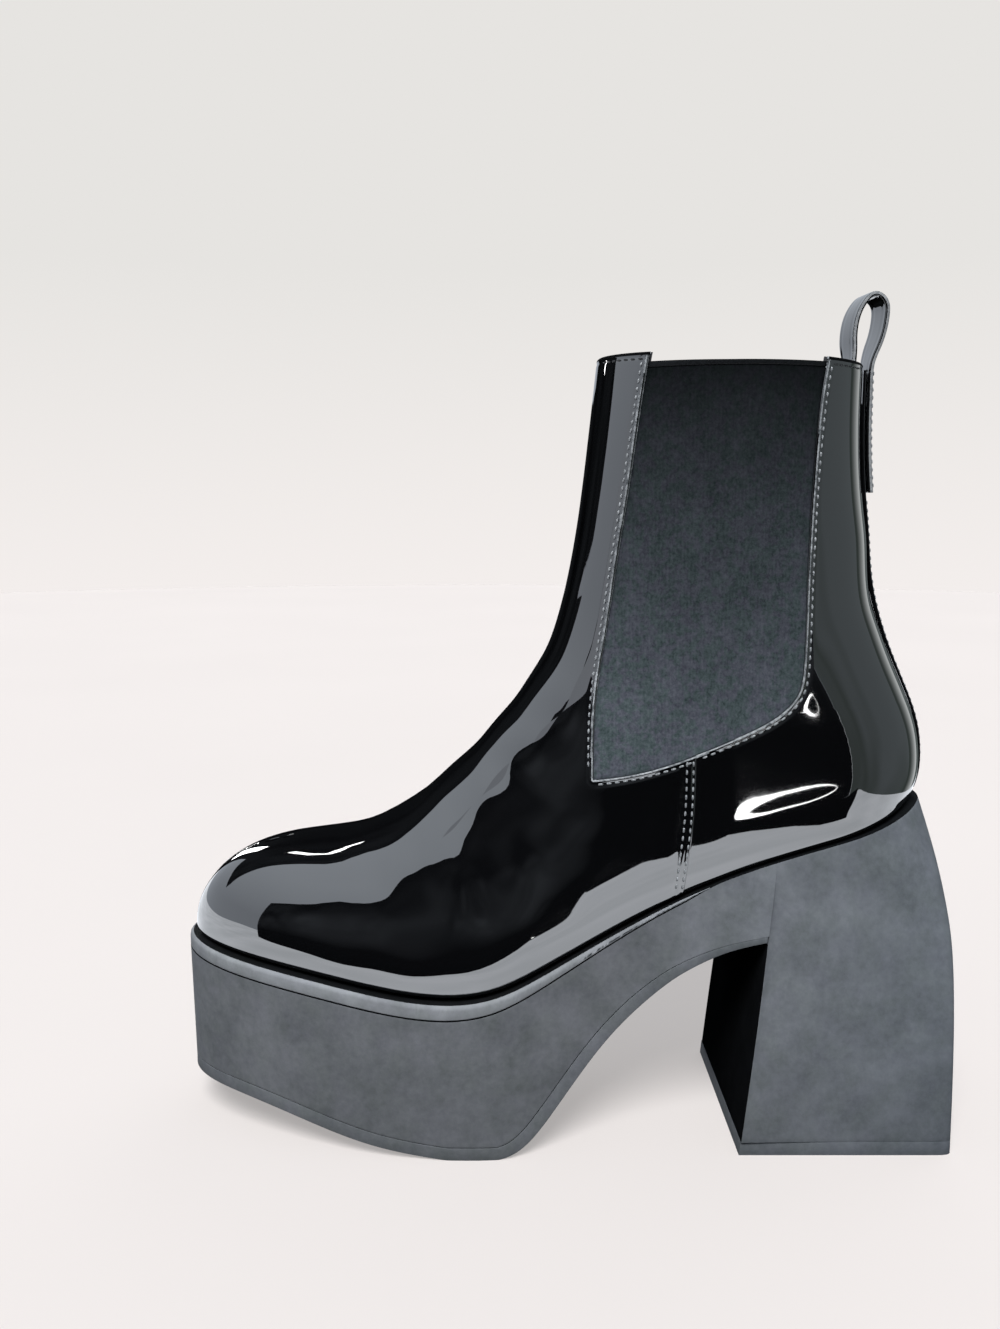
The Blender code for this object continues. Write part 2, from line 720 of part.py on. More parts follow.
def welt_form(name, grow, gap):
    """The rim band round the toe. A cutter is grown by grow outwards and upwards, and by gap elsewhere."""
    sides = []
    for outwards in (grow, -WELT_WIDTH - gap):
        y, half = foot_edge(WELT_END + gap, ARCH_STEPS, RIM_TIP - outwards, lambda at: rim_half(at) + outwards)
        height = WELT_END_HEIGHT + (WELT_HEIGHT - WELT_END_HEIGHT) * smooth((WELT_END - y) / WELT_GROWTH)
        top = seat_z(y) - GAP
        sides.append([(y, half, top + grow), (y, half, top - height - gap)])
    corners = []
    for y, half, z in sides[0] + sides[1][::-1]:
        right = np.stack([seat_centre(y) + half, y, z], 1)
        left = np.stack([seat_centre(y) - half, y, z], 1)
        corners.append(np.concatenate([right, left[-2::-1]]))
    sections = np.stack(corners, 1)
    numbers = ring_numbers(len(sections), len(corners))
    faces = [tuple(numbers[0]), tuple(numbers[-1][::-1])]
    for first, second in zip(numbers, numbers[1:]):
        faces += strip(first, second)
    return add_object(name, sections.reshape(-1, 3), faces, RUBBER)


def outsole():
    rings = []
    for depth in (0.0, OUTSOLE):
        y, half, z = tread_edge(depth, GAP)
        rings.append(pair(*flat_start(y, half, z, seat_centre(y))))
    stack("outsole", rings, RUBBER)


def heel_tip():
    turn = np.linspace(0, np.pi / 2, HEEL_STEPS + 1)
    rings = []
    for z in (0.0, HEEL_TIP):
        y, half = heel_plan(z, turn)
        y = np.concatenate([y, [breast_y(z), breast_y(z)]])
        half = np.concatenate([half, [half[-1], 0.0]])
        rings.append(pair(y, half, np.full(len(y), z), np.zeros(len(y))))
    stack("heel_tip", rings, RUBBER)


def insole():
    """Covered board on the sole unit, inside the upper's lower edge."""
    clear = WALL + 2 * GAP
    turn = np.linspace(0, np.pi / 2, HEEL_STEPS + 1)
    back = SEAT["y"][-1] - clear
    reach = HEEL_ROUND - clear
    heel_y = back - reach * (1 - np.cos(turn) ** (2 / ROUND_POWER))
    heel_width = (seat_half(heel_y) - clear) * np.sin(turn) ** (2 / ROUND_POWER)
    start = heel_y[-1] - INSOLE_STEP
    y, half = foot_edge(start, TOE_STEPS, TOE_TIP + clear, lambda at: seat_half(at) - clear)
    y, half = np.concatenate([heel_y, y]), np.concatenate([heel_width, half])
    rings = [pair(y, half, seat_z(y) + rise, seat_centre(y)) for rise in (0.0, INSOLE)]
    stack("insole", rings, LINING)


def build():
    grid = upper_grid()
    upper = shell("upper", grid, moved_in(grid, WALL), PATENT)
    for side, name in ((1, "elastic_gore_outer"), (-1, "elastic_gore_inner")):
        cut(upper, gore_cutter(side))
        gore_panel(side, name)
    back_strap()
    pull_loop()
    insole()
    welt_form("welt", 0.0, 0.0)
    sole_unit()
    outsole()
    heel_tip()


for leftover in list(bpy.data.objects):
    bpy.data.objects.remove(leftover, do_unlink=True)

PATENT = material("patent_leather", (0.012, 0.012, 0.014), 0.08)
ELASTIC = material("elastic_webbing", (0.03, 0.032, 0.035), 0.9)
RUBBER = material("moulded_rubber", (0.10, 0.105, 0.11), 0.75)
LINING = material("insole_board", (0.05, 0.045, 0.04), 0.7)

build()
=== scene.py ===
"""Looks of a platform Chelsea boot in black patent leather, left foot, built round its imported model.

Every piece is made from the boot's own lines: the last's seat line, its front and back lines, and the widths of foot
and shaft. Sizes in the tables are in millimetres, toe towards -Y, outer side towards +X, floor at z = 0.
"""

import math

import bmesh
import bpy
import numpy as np
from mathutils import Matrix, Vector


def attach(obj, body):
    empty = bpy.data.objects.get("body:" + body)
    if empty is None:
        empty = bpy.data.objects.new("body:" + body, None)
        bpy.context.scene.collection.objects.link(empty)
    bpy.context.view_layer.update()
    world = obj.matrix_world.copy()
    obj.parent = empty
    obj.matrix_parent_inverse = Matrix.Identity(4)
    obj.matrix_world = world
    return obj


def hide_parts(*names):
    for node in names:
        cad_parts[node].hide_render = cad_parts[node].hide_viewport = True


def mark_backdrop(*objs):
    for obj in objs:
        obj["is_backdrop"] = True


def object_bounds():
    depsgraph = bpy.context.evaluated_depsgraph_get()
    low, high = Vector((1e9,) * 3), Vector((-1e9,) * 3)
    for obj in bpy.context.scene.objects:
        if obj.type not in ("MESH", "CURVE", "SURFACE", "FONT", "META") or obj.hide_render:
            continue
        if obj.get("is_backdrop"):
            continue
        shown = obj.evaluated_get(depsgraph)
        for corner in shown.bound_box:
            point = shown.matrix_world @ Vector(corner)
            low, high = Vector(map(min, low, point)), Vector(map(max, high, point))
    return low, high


bl_info = {
    "name": "Platform Chelsea Boot",
    "version": (1, 0, 0),
    "blender": (4, 5, 0),
    "location": "3D View > Sidebar > Boot",
    "description": "Builds a patent leather platform Chelsea boot, its sewing, its sole and a plain studio",
    "category": "Add Mesh",
}

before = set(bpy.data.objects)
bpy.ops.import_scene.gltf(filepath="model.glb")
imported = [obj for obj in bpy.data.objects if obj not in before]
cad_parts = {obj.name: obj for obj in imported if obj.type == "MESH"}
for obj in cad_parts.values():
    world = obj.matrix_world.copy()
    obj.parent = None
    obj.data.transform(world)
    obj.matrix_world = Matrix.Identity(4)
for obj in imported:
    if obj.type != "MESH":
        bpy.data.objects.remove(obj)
CAD_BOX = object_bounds()

MM = 0.001
BODY = "root"
GAP = 0.3                 # clearance between pieces that touch

# upper
SIDE_BULGE = 2.2          # how far the sides swell over the seat line
BULGE_HEIGHT = 13.0
TOE_START = -46.0         # where the toe's rounding begins
TOE_TIP = -124.3
TOE_POWER = 1.95          # 2 is a plain ellipse seen from above
ROUND_POWER = 2.1
COLLAR_BACK = 253.6
COLLAR_FRONT = 256.3
WIDENING_START = -60.0    # along the foot, where its widths begin to turn into the shaft's
WIDENING_LENGTH = 55.0
WIDENING_HEIGHT = 80.0
SHAFT_START = 105.0       # heights over which the foot's cross-section turns into the shaft's
SHAFT_TURN = 60.0
CENTRE_START = 90.0       # heights over which the foot's curved centre line straightens
CENTRE_TURN = 90.0
RIDGE_RISE = 5.0          # slope of the middle line behind the shaft's front
LEATHER = 1.1             # thickness of the patent leather alone
LINING_DEPTH = 2.0        # from the leather's face to the lining
LINING = 0.4
WALL = 1.9                # thickness of the upper's wall at the collar
GORE_DEPTH = 1.35         # from the leather's face to the elastic
ELASTIC = 0.7
GORE_TOP = 252.6
TUCKED = 2.5              # how far the elastic reaches under the leather

# straps
STRAP_WIDTH = 13.0
STRAP_THICKNESS = 1.0
STRAP_TOP = 252.0
STRAP_BOTTOM = 113.5
LOOP_WIDTH = 12.0
LOOP_THICKNESS = 1.6
LOOP_INSIDE = 241.0
LOOP_OUTSIDE = 212.0
LOOP_JOIN = 5.0

# sole
INSOLE = 2.4
LEDGE_TOE = 3.3           # how far the sole's rim stands out beyond the upper
LEDGE_HEEL = 0.9
LEDGE_START = -20.0
LEDGE_LENGTH = 85.0
WELT_HEIGHT = 5.0
WELT_END_HEIGHT = 1.3
WELT_WIDTH = 9.5
WELT_END = 48.0
WELT_GROWTH = 90.0
OUTSOLE = 4.0
HEEL_TIP = 4.5
HEEL_BACK = 126.6
HEEL_HALF = 36.7
BREAST_FOOT = 57.6        # front face of the heel, at the floor
BREAST_TOP = 66.0
BREAST_TOP_Z = 69.6
BREAST_RIM = 72.5
RIM_STEP = 3.0
HEEL_ROUND = 31.0
TREAD_TIP = -125.2
RIM_TIP = TOE_TIP - 0.65 * LEDGE_TOE


def table(columns, *rows):
    """Rows of numbers under named columns."""
    return dict(zip(columns.split(), np.array(rows, float).T))


SEAT = table(
    "y z centre half",
    (-124.3, 62, -4, 41.3),
    (-100, 60.3, -3.6, 41.3),
    (-75, 57.6, -2.4, 41.3),
    (-52, 54.3, -0.4, 41.3),
    (-35, 52.9, 1.4, 40),
    (-20, 54.7, 2.8, 37.2),
    (-5, 60.8, 3.1, 33.8),
    (12, 69.2, 2.5, 30.6),
    (30, 78.3, 1.8, 29.1),
    (52, 88.2, 1, 29.1),
    (76, 96.5, 0.3, 29.9),
    (99, 103.6, 0, 30.3),
    (119.4, 111, 0, 30.3))
FRONT_LINE = table(
    "y z",
    (-124.3, 62), (-123.9, 68.6), (-120.3, 77.2), (-112.7, 85.3), (-102, 90.9), (-89, 94),
    (-74, 96.2), (-58, 101.6), (-40, 114.6), (-24, 131), (-11, 147), (-1.5, 164), (3.4, 181),
    (7, 201), (10.4, 228), (13.4, COLLAR_FRONT))
BACK_LINE = table(
    "z y",
    (111, 119.4), (117, 121.3), (126, 121.9), (136, 120.4), (147, 116.4), (158, 111.7),
    (170, 107.4), (184, 104.2), (198, 102.9), (212, 101.5), (228, 100.5), (COLLAR_BACK, 100.6))
SHAFT = table(
    "z half front back",
    (100, 31.2, 72, 31),
    (130, 31.8, 58, 31),
    (160, 31.2, 44, 35),
    (190, 31.6, 42, 42),
    (222, 32.8, 43, 45),
    (258, 34.4, 46, 46))
SECTION = table(
    "y power",
    (-125, 2.2), (-90, 2.4), (-50, 2.15), (-15, 1.9), (20, 2))
GORE_FRONT = table(
    "y z",
    (10.6, 121.5), (10.5, 130), (11.6, 149), (14.2, 165), (18.2, 191.6), (21.4, 213), (26.9, GORE_TOP),
    (27.5, COLLAR_FRONT))
GORE_LOWER = table(
    "y z",
    (10.6, 121.5), (24, 123.4), (41.7, 128.8), (58, 135.8), (68.4, 141.6), (74.4, 147.9), (76.6, 158.9))
GORE_BACK = table(
    "y z",
    (76.6, 158.9), (77.2, 172), (77.6, 187), (79, 215), (82.9, GORE_TOP), (83.2, COLLAR_BACK + 0.5))
SEAM = table("y z", (43, 129.3), (42.2, 105.5), (40.8, 94), (39.6, 83))
TREAD = table(
    "y z",
    (72, 71.4), (BREAST_TOP, BREAST_TOP_Z), (54, 65.6), (45.2, 61.3), (37.6, 56.7), (30, 50.8),
    (22, 43.6), (14.4, 35.6), (7, 26.4), (0, 17), (-6.5, 8.6), (-11, 4), (-15, 1.4), (-19.5, 0),
    (-36, 0), (-46, 1.4), (-61, 4.1), (-77, 8.2), (-92, 11.9), (-106, 13.9), (TREAD_TIP, 14.2))
TREAD_HALF = table(
    "y half",
    (BREAST_TOP, 34.9), (52, 31.8), (36, 30), (16, 30.6), (-6, 34.4), (-22, 37.2), (-46, 39.2),
    (-125, 39.2))
HEEL = table(
    "z back half power",
    (0, HEEL_BACK, HEEL_HALF, 22),
    (48, 126.5, 36.5, 22),
    (66, 126.4, 35.2, 15),
    (78, 126.2, 34, 8),
    (88, 125.9, 32.9, 4.6),
    (97, 125.3, 32.1, 3),
    (105, 124, 31.5, 2.3),
    (111, 122.4, 31.2, 2.1))
LOOP_PATH = table(
    "y z",
    (97.2, 255.6), (96.8, 262), (97.3, 268), (99.6, 273.8), (103.4, 276.9), (106.4, 275), (107.2, 270),
    (106, 263.5), (103.8, 256.6))

# soft creases of the worn-in leather, each from one place on the side to another: how wide and how deep (a minus
# sign makes a ridge), and on which side of the boot (1 outer, -1 inner, 0 both)
CREASES = table(
    "y0 z0 y1 z1 width depth side",
    (-22, 126, 4, 112, 7, 0.5, 0),
    (-12, 141, 8, 132, 8, 0.35, 0),
    (-3, 158, 9, 150, 8, 0.3, 0),
    (-60, 92, -48, 74, 8, 0.35, 0),
    (-44, 104, -30, 82, 8, -0.3, 0),
    (86, 168, 104, 176, 8, 0.45, 0),
    (84, 192, 101, 196, 9, -0.3, 0))

# long soft waves that the leather keeps from lasting: length, direction, height and start of each
WAVES = table(
    "length turn height start",
    (31, 20, 0.13, 0.4),
    (23, -35, 0.09, 1.9),
    (17, 65, 0.06, 3.1),
    (12, -80, 0.03, 0.8),
    (9.5, 10, 0.02, 2.2))


# ---------------------------------------------------------------- curves

class Curve:
    """Smooth curve through (x, y): a natural cubic spline."""

    def __init__(self, x, y):
        order = np.argsort(x)
        self.x = np.asarray(x, float)[order]
        self.y = np.asarray(y, float)[order]
        step = np.diff(self.x)
        slope = np.diff(self.y) / step
        size = len(self.x)
        matrix = np.eye(size)
        right = np.zeros(size)
        for i in range(1, size - 1):
            matrix[i, i - 1:i + 2] = (step[i - 1], 2 * (step[i - 1] + step[i]), step[i])
            right[i] = 6 * (slope[i] - slope[i - 1])
        self.bend = np.linalg.solve(matrix, right)

    def __call__(self, x):
        x = np.clip(x, self.x[0], self.x[-1])
        i = np.clip(np.searchsorted(self.x, x) - 1, 0, len(self.x) - 2)
        step = self.x[i + 1] - self.x[i]
        after = self.x[i + 1] - x
        before = x - self.x[i]
        left = self.y[i] / step - self.bend[i] * step / 6
        right = self.y[i + 1] / step - self.bend[i + 1] * step / 6
        cubic = (self.bend[i] * after ** 3 + self.bend[i + 1] * before ** 3) / (6 * step)
        return cubic + left * after + right * before


def lengths(line):
    """Distance of every point of a line from its start."""
    return np.concatenate([[0], np.cumsum(np.linalg.norm(np.diff(line, axis=0), axis=1))])


def path(rows, count=400):
    """A smooth line through (y, z) rows, as count points evenly along its length."""
    points = np.stack([rows["y"], rows["z"]], 1)
    reach = lengths(points)
    fine = np.linspace(0, reach[-1], count * 4)
    line = np.stack([Curve(reach, points[:, 0])(fine), Curve(reach, points[:, 1])(fine)], 1)
    return at_length(line, np.linspace(0, 1, count) * lengths(line)[-1])


def at_length(line, distance):
    """Points of a line at distances from its start."""
    reach = lengths(line)
    return np.stack([np.interp(distance, reach, line[:, axis]) for axis in range(line.shape[1])], -1)


def along(line, part):
    """Points at fractions of the length of an evenly spaced line."""
    place = np.clip(part, 0, 1) * (len(line) - 1)
    index = np.arange(len(line))
    return np.stack([np.interp(place, index, line[:, 0]), np.interp(place, index, line[:, 1])], -1)


def unit(vectors):
    """The same directions at length 1."""
    return vectors / np.linalg.norm(vectors, axis=-1, keepdims=True)


def offset(line, distance):
    """A side-view line moved to its left by distance."""
    run = unit(np.gradient(line, axis=0))
    return line + distance * np.stack([-run[:, 1], run[:, 0]], 1)


def smooth(value):
    """0 below 0, 1 above 1, with a soft S between."""
    value = np.clip(value, 0, 1)
    return value * value * (3 - 2 * value)


def blend(first, second, share):
    """Share of the way from first to second."""
    return first + (second - first) * share


def arch(value, power):
    """Height of a rounded arch: 1 at value 0, falling to 0 at value 1."""
    return np.clip(1 - np.clip(value, 0, 1) ** power, 0, 1) ** (1 / power)


def far_from(y, z, line):
    """Distance in the side view from each place to a line."""
    near = np.full(np.shape(y), np.inf)
    for (y0, z0), (y1, z1) in zip(line[:-1], line[1:]):
        run_y, run_z = y1 - y0, z1 - z0
        share = np.clip(((y - y0) * run_y + (z - z0) * run_z) / (run_y ** 2 + run_z ** 2 + 1e-12), 0, 1)
        near = np.minimum(near, np.hypot(y - y0 - share * run_y, z - z0 - share * run_z))
    return near


seat_z = Curve(SEAT["y"], SEAT["z"])
seat_centre = Curve(SEAT["y"], SEAT["centre"])
seat_half = Curve(SEAT["y"], SEAT["half"])
front_line = path(FRONT_LINE)
back_y = Curve(BACK_LINE["z"], BACK_LINE["y"])
shaft_half = Curve(SHAFT["z"], SHAFT["half"])
shaft_front = Curve(SHAFT["z"], SHAFT["front"])
shaft_back = Curve(SHAFT["z"], SHAFT["back"])
section_power = Curve(SECTION["y"], SECTION["power"])
tread_line = path(TREAD, 800)
tread_line[:, 1] = np.maximum(tread_line[:, 1], 0)
tread_half = Curve(TREAD_HALF["y"], TREAD_HALF["half"])
heel_back = Curve(HEEL["z"], HEEL["back"])
heel_half = Curve(HEEL["z"], HEEL["half"])
heel_power = Curve(HEEL["z"], HEEL["power"])
gore_front, gore_lower, gore_back = (path(rows, 120) for rows in (GORE_FRONT, GORE_LOWER, GORE_BACK))
seam_line = path(SEAM, 60)
gore_outline = np.concatenate([gore_front[::-1], gore_lower, gore_back])[::3]


# ---------------------------------------------------------------- form of the upper

def toe_round(y):
    """How much of its full width the upper has over the rounded toe."""
    return arch((TOE_START - y) / (TOE_START - TOE_TIP), TOE_POWER)


def ridge_z(y):
    """Height of the upper's middle line over the foot; behind the shaft's front it runs on steeply."""
    behind = np.maximum(y - front_line[-1, 0], 0)
    return np.interp(y, front_line[:, 0], front_line[:, 1]) + behind * RIDGE_RISE


def front_y(z):
    """Place of the front line at a height."""
    return np.interp(z, front_line[:, 1], front_line[:, 0])


def half_width(y, z):
    """Half width of the upper at a place seen from the side."""
    over_seat = np.maximum(z - seat_z(y), 0)
    to_shaft = smooth(over_seat / WIDENING_HEIGHT) * smooth((y - WIDENING_START) / WIDENING_LENGTH)
    swell = over_seat / BULGE_HEIGHT * np.exp(1 - over_seat / BULGE_HEIGHT)
    half = seat_half(y) * (1 - to_shaft) + shaft_half(z) * to_shaft + SIDE_BULGE * swell
    foot = np.clip(over_seat / np.maximum(ridge_z(y) - seat_z(y), MM), 0, 1)
    shaft = np.clip(1 - (y - front_y(z)) / shaft_front(z), 0, 1)
    up = smooth((z - SHAFT_START) / SHAFT_TURN)
    to_front = foot * (1 - up) + shaft * up
    power = section_power(y) * (1 - up) + ROUND_POWER * up
    to_back = 1 - (back_y(z) - y) / shaft_back(z)
    return half * toe_round(y) * arch(to_front, power) * arch(to_back, ROUND_POWER)


def centre_x(y, z):
    """Middle between the two sides of the upper."""
    return seat_centre(y) * (1 - smooth((z - CENTRE_START) / CENTRE_TURN))


def upper_point(y, z, side):
    """Point of the upper's outer face: side is 1 for the outer side and -1 for the inner."""
    return np.stack([centre_x(y, z) + side * half_width(y, z), y + 0 * z, z + 0 * y], -1)


def upper_frame(y, z, side, step=0.5):
    """Points of the upper's outer face and its outward normals there."""
    along_y = upper_point(y + step, z, side) - upper_point(y - step, z, side)
    along_z = upper_point(y, z + step, side) - upper_point(y, z - step, side)
    return upper_point(y, z, side), unit(np.cross(along_y, along_z) * side)


def collar_z(y):
    """Height of the collar, which rises a little to the front."""
    front, back = front_line[-1, 0], float(back_y(COLLAR_BACK))
    return COLLAR_BACK + (COLLAR_FRONT - COLLAR_BACK) * (back - y) / (back - front)


# ---------------------------------------------------------------- leather patches

EDGE_ROWS = (0.0, 0.12, 0.28, 0.5, 0.75, 1.1, 1.6, 2.1, 2.6, 3.1, 3.7, 4.6)   # rows that draw a turned edge
SEAT_ROWS = (0.0, 0.35, 0.7, 1.1, 1.5, 2.0, 2.8)                              # rows that draw the tuck at the sole
CORNER_ROWS = (0.0, 0.3, 0.8, 1.5)


def spread(length, count, near=(0.0,), far=(0.0,), closing=False):
    """Distances along a line: near ones from its start, far ones from its end and count steps between. With closing
    they crowd together towards the end."""
    start, end = near[-1], length - far[-1]
    part = np.arange(1, count + 1) / count
    if closing:
        part = np.sin(part * np.pi / 2)
    return np.concatenate([near, start + (end - start) * part, length - np.array(far[-2::-1])])


def patch(bottom, top, left, right, rows, near, far):
    """A grid of (y, z) places inside four lines that meet at its corners. bottom and top hold a point for each
    column; rows steps run up each column, with near and far rows at fixed distances from its ends."""
    share = (lengths(bottom) / lengths(bottom)[-1] + lengths(top) / lengths(top)[-1]) / 2
    grid = []
    for i, u in enumerate(share):
        side = blend(lengths(left)[-1], lengths(right)[-1], u)
        size = np.linalg.norm(top[i] - bottom[i])
        length = max(blend(size, side, abs(2 * u - 1)), near[-1] + far[-1] + rows * 0.1)
        v = (spread(length, rows, near, far) / length)[:, None]
        sides = blend(at_length(left, v[:, 0] * lengths(left)[-1]), at_length(right, v[:, 0] * lengths(right)[-1]), u)
        straight = blend(blend(bottom[0], bottom[-1], u), blend(top[0], top[-1], u), v)
        grid.append(blend(bottom[i], top[i], v) + sides - straight)
    return np.array(grid)


def seat_run(start, end):
    """A stretch of the seat line, where upper and sole meet."""
    y = np.linspace(start, end, 300)
    return np.stack([y, seat_z(y)], 1)


def back_run(low, high):
    """A stretch of the back line."""
    z = np.linspace(low, high, 200)
    return np.stack([back_y(z), z], 1)


def collar_run(start, end):
    """A stretch of the collar."""
    y = np.linspace(start, end, 50)
    return np.stack([y, collar_z(y)], 1)


def upto(line, z):
    """The part of a rising line below a height."""
    reach = lengths(line)
    return at_length(line, np.linspace(0, np.interp(z, line[:, 1], reach), 200))


INSTEP_Y = -14.0          # where the line from the gore's front corner meets the middle line


def vamp_patches(fine):
    """Side views of the vamp's two patches, foot and shaft front, as grids of places."""
    reach = lengths(front_line)
    instep = np.interp(INSTEP_Y, front_line[:, 0], reach)
    ridge_low = at_length(front_line, np.linspace(0, instep, 300))
    ridge_high = at_length(front_line, np.linspace(instep, reach[-1], 300))
    corner = gore_lower[0]
    split = np.stack([corner, ridge_low[-1]])
    across = at_length(split, spread(lengths(split)[-1], fine[0], EDGE_ROWS, closing=True))
    seam_top = seam_line[0]
    lower = gore_lower[:np.argmin(np.linalg.norm(gore_lower - seam_top, axis=1)) + 1][::-1]
    lower = np.concatenate([[seam_top], lower[1:-1], [corner]])
    under = at_length(lower, spread(lengths(lower)[-1], fine[1], EDGE_ROWS, CORNER_ROWS))
    top = np.concatenate([under, across[1:]])
    seam = seam_line[::-1]
    seat = seat_run(seam[0, 0], TOE_TIP)
    seam = np.concatenate([[seat[0]], seam[1:]])
    bottom = at_length(seat, spread(lengths(seat)[-1], len(top) - len(EDGE_ROWS), EDGE_ROWS, closing=True))
    foot = patch(bottom, top, seam, ridge_low, fine[2], SEAT_ROWS, EDGE_ROWS)
    collar = collar_run(gore_front[-1, 0], front_line[-1, 0])
    edge = np.concatenate([gore_front[:-1], [collar[0]]])
    high = at_length(collar, spread(lengths(collar)[-1], fine[0], EDGE_ROWS, closing=True))
    shaft = patch(across, high, edge, ridge_high, fine[3], CORNER_ROWS, EDGE_ROWS)
    return foot, shaft


OVERLAP = 5.0             # how far the quarter runs under the vamp at the side seam
LAP = 0.3                 # how far each of the two gives way at the skived lap
LAP_FADE = 13.0
SEAM_ROW = 0.9            # first stitch row of the side seam, from its edge
HIDDEN_ROWS = (0.0, 1.6, 3.0, 3.8, 4.4, 4.8, 5.2, 5.8, 6.8, 8.2)
KNEE_Z = 143.0            # where the gore's lower edge turns upwards and the quarter's two patches part


def quarter_patches(fine):
    """Side views of a quarter's two patches, heel and shaft back."""
    reach = lengths(gore_lower)
    start = reach[np.argmin(np.linalg.norm(gore_lower - seam_line[0], axis=1))] - OVERLAP
    end = np.interp(KNEE_Z, gore_lower[:, 1], reach)
    lower = at_length(gore_lower, np.linspace(start, end, 200))
    knee = lower[-1]
    level = np.stack([knee, [float(back_y(knee[1])), knee[1]]])
    across = at_length(level, spread(lengths(level)[-1], fine[0], EDGE_ROWS, closing=True))
    under = at_length(lower, spread(lengths(lower)[-1], fine[1], HIDDEN_ROWS, CORNER_ROWS))
    top = np.concatenate([under, across[1:]])
    hidden = upto(seam_line[::-1] - (OVERLAP, 0), lower[0, 1])
    seat = seat_run(hidden[0, 0], SEAT["y"][-1])
    hidden = np.concatenate([[seat[0]], hidden[1:-1], [lower[0]]])
    bottom = at_length(seat, spread(lengths(seat)[-1], len(top) - len(HIDDEN_ROWS), HIDDEN_ROWS, closing=True))
    heel = patch(bottom, top, hidden, back_run(SEAT["z"][-1], knee[1]), fine[2], SEAT_ROWS, EDGE_ROWS)
    collar = collar_run(gore_back[-1, 0], float(back_y(COLLAR_BACK)))
    bend = at_length(gore_lower, np.linspace(end, reach[-1], 60))
    edge = np.concatenate([bend[:-1], gore_back[:-1], [collar[0]]])
    high = at_length(collar, spread(lengths(collar)[-1], fine[0], EDGE_ROWS, closing=True))
    shaft = patch(across, high, edge, back_run(knee[1], COLLAR_BACK), fine[3], CORNER_ROWS, EDGE_ROWS)
    return heel, shaft


def turned(distance, radius):
    """Depth of an edge turned over with a round of this radius, at distances from the edge."""
    inside = np.clip(radius - distance, 0, radius)
    return radius - np.sqrt(radius ** 2 - inside ** 2)


def groove(distance, place, width, depth):
    """Depth of a soft groove at a place, at distances from the edge."""
    return depth * np.exp(-((distance - place) / width) ** 2)


def crease_depth(y, z, side):
    """Depth of all creases of one side at a place."""
    depth = np.zeros(np.shape(y))
    for y0, z0, y1, z1, width, deep, where in zip(*CREASES.values()):
        if where in (0, side):
            away = far_from(y, z, np.array([(y0, z0), (y1, z1)]))
            depth += deep * np.exp(-(away / width) ** 2)
    return depth


WAVE_SHIFT = 5.0          # how far the waves of one side are shifted from the middle line's
WAVE_MEETING = 14.0       # half width over which the shift grows
WAVE_DRIFT, DRIFT_LENGTH = 0.25, 37.0       # how a wave's own direction drifts along the boot
WAVE_SWAY = 0.8           # how unevenly its crests follow each other
SWAY_UP, SWAY_ALONG = 21.0, 29.0


def wave_depth(y, z, side):
    """Uneven waves: each one's own direction drifts a little along the boot. They differ from side to side and meet
    over the middle line."""
    depth = np.zeros(np.shape(y))
    shift = side * WAVE_SHIFT * smooth(half_width(y, z) / WAVE_MEETING)
    for length, turn, height, start in zip(*WAVES.values()):
        angle = math.radians(turn) + WAVE_DRIFT * np.sin(y / DRIFT_LENGTH + start)
        across = y * np.cos(angle) + shift + z * np.sin(angle)
        sway = WAVE_SWAY * np.sin(z / SWAY_UP - y / SWAY_ALONG + start)
        depth += height * np.sin(2 * np.pi * across / length + start + sway)
    return depth


TUCK_HEIGHT = 2.3         # over which the leather turns in at the sole
ROW_GROOVE = 0.5          # half width of the trough along a stitch row
SEAM_GROOVE = 0.4
SEAM_ROUND = 0.7          # the side seam's edge is thinner, so its round is smaller
CALM_EDGE = 6.0           # the waves fade out this near to an edge
SHAFT_CALM = 0.8          # how much flatter the waves are up the shaft
WAIST_CALM = 0.75         # how much flatter they are at the waist
WAIST_START, WAIST_LENGTH = -6.0, 22.0
PUFF_CALM = 0.8           # how much flatter they are over the stiff toe
PUFF_START, PUFF_LENGTH = -66.0, 20.0
COUNTER = 0.12            # share of the waves that the stiff heel counter lets through


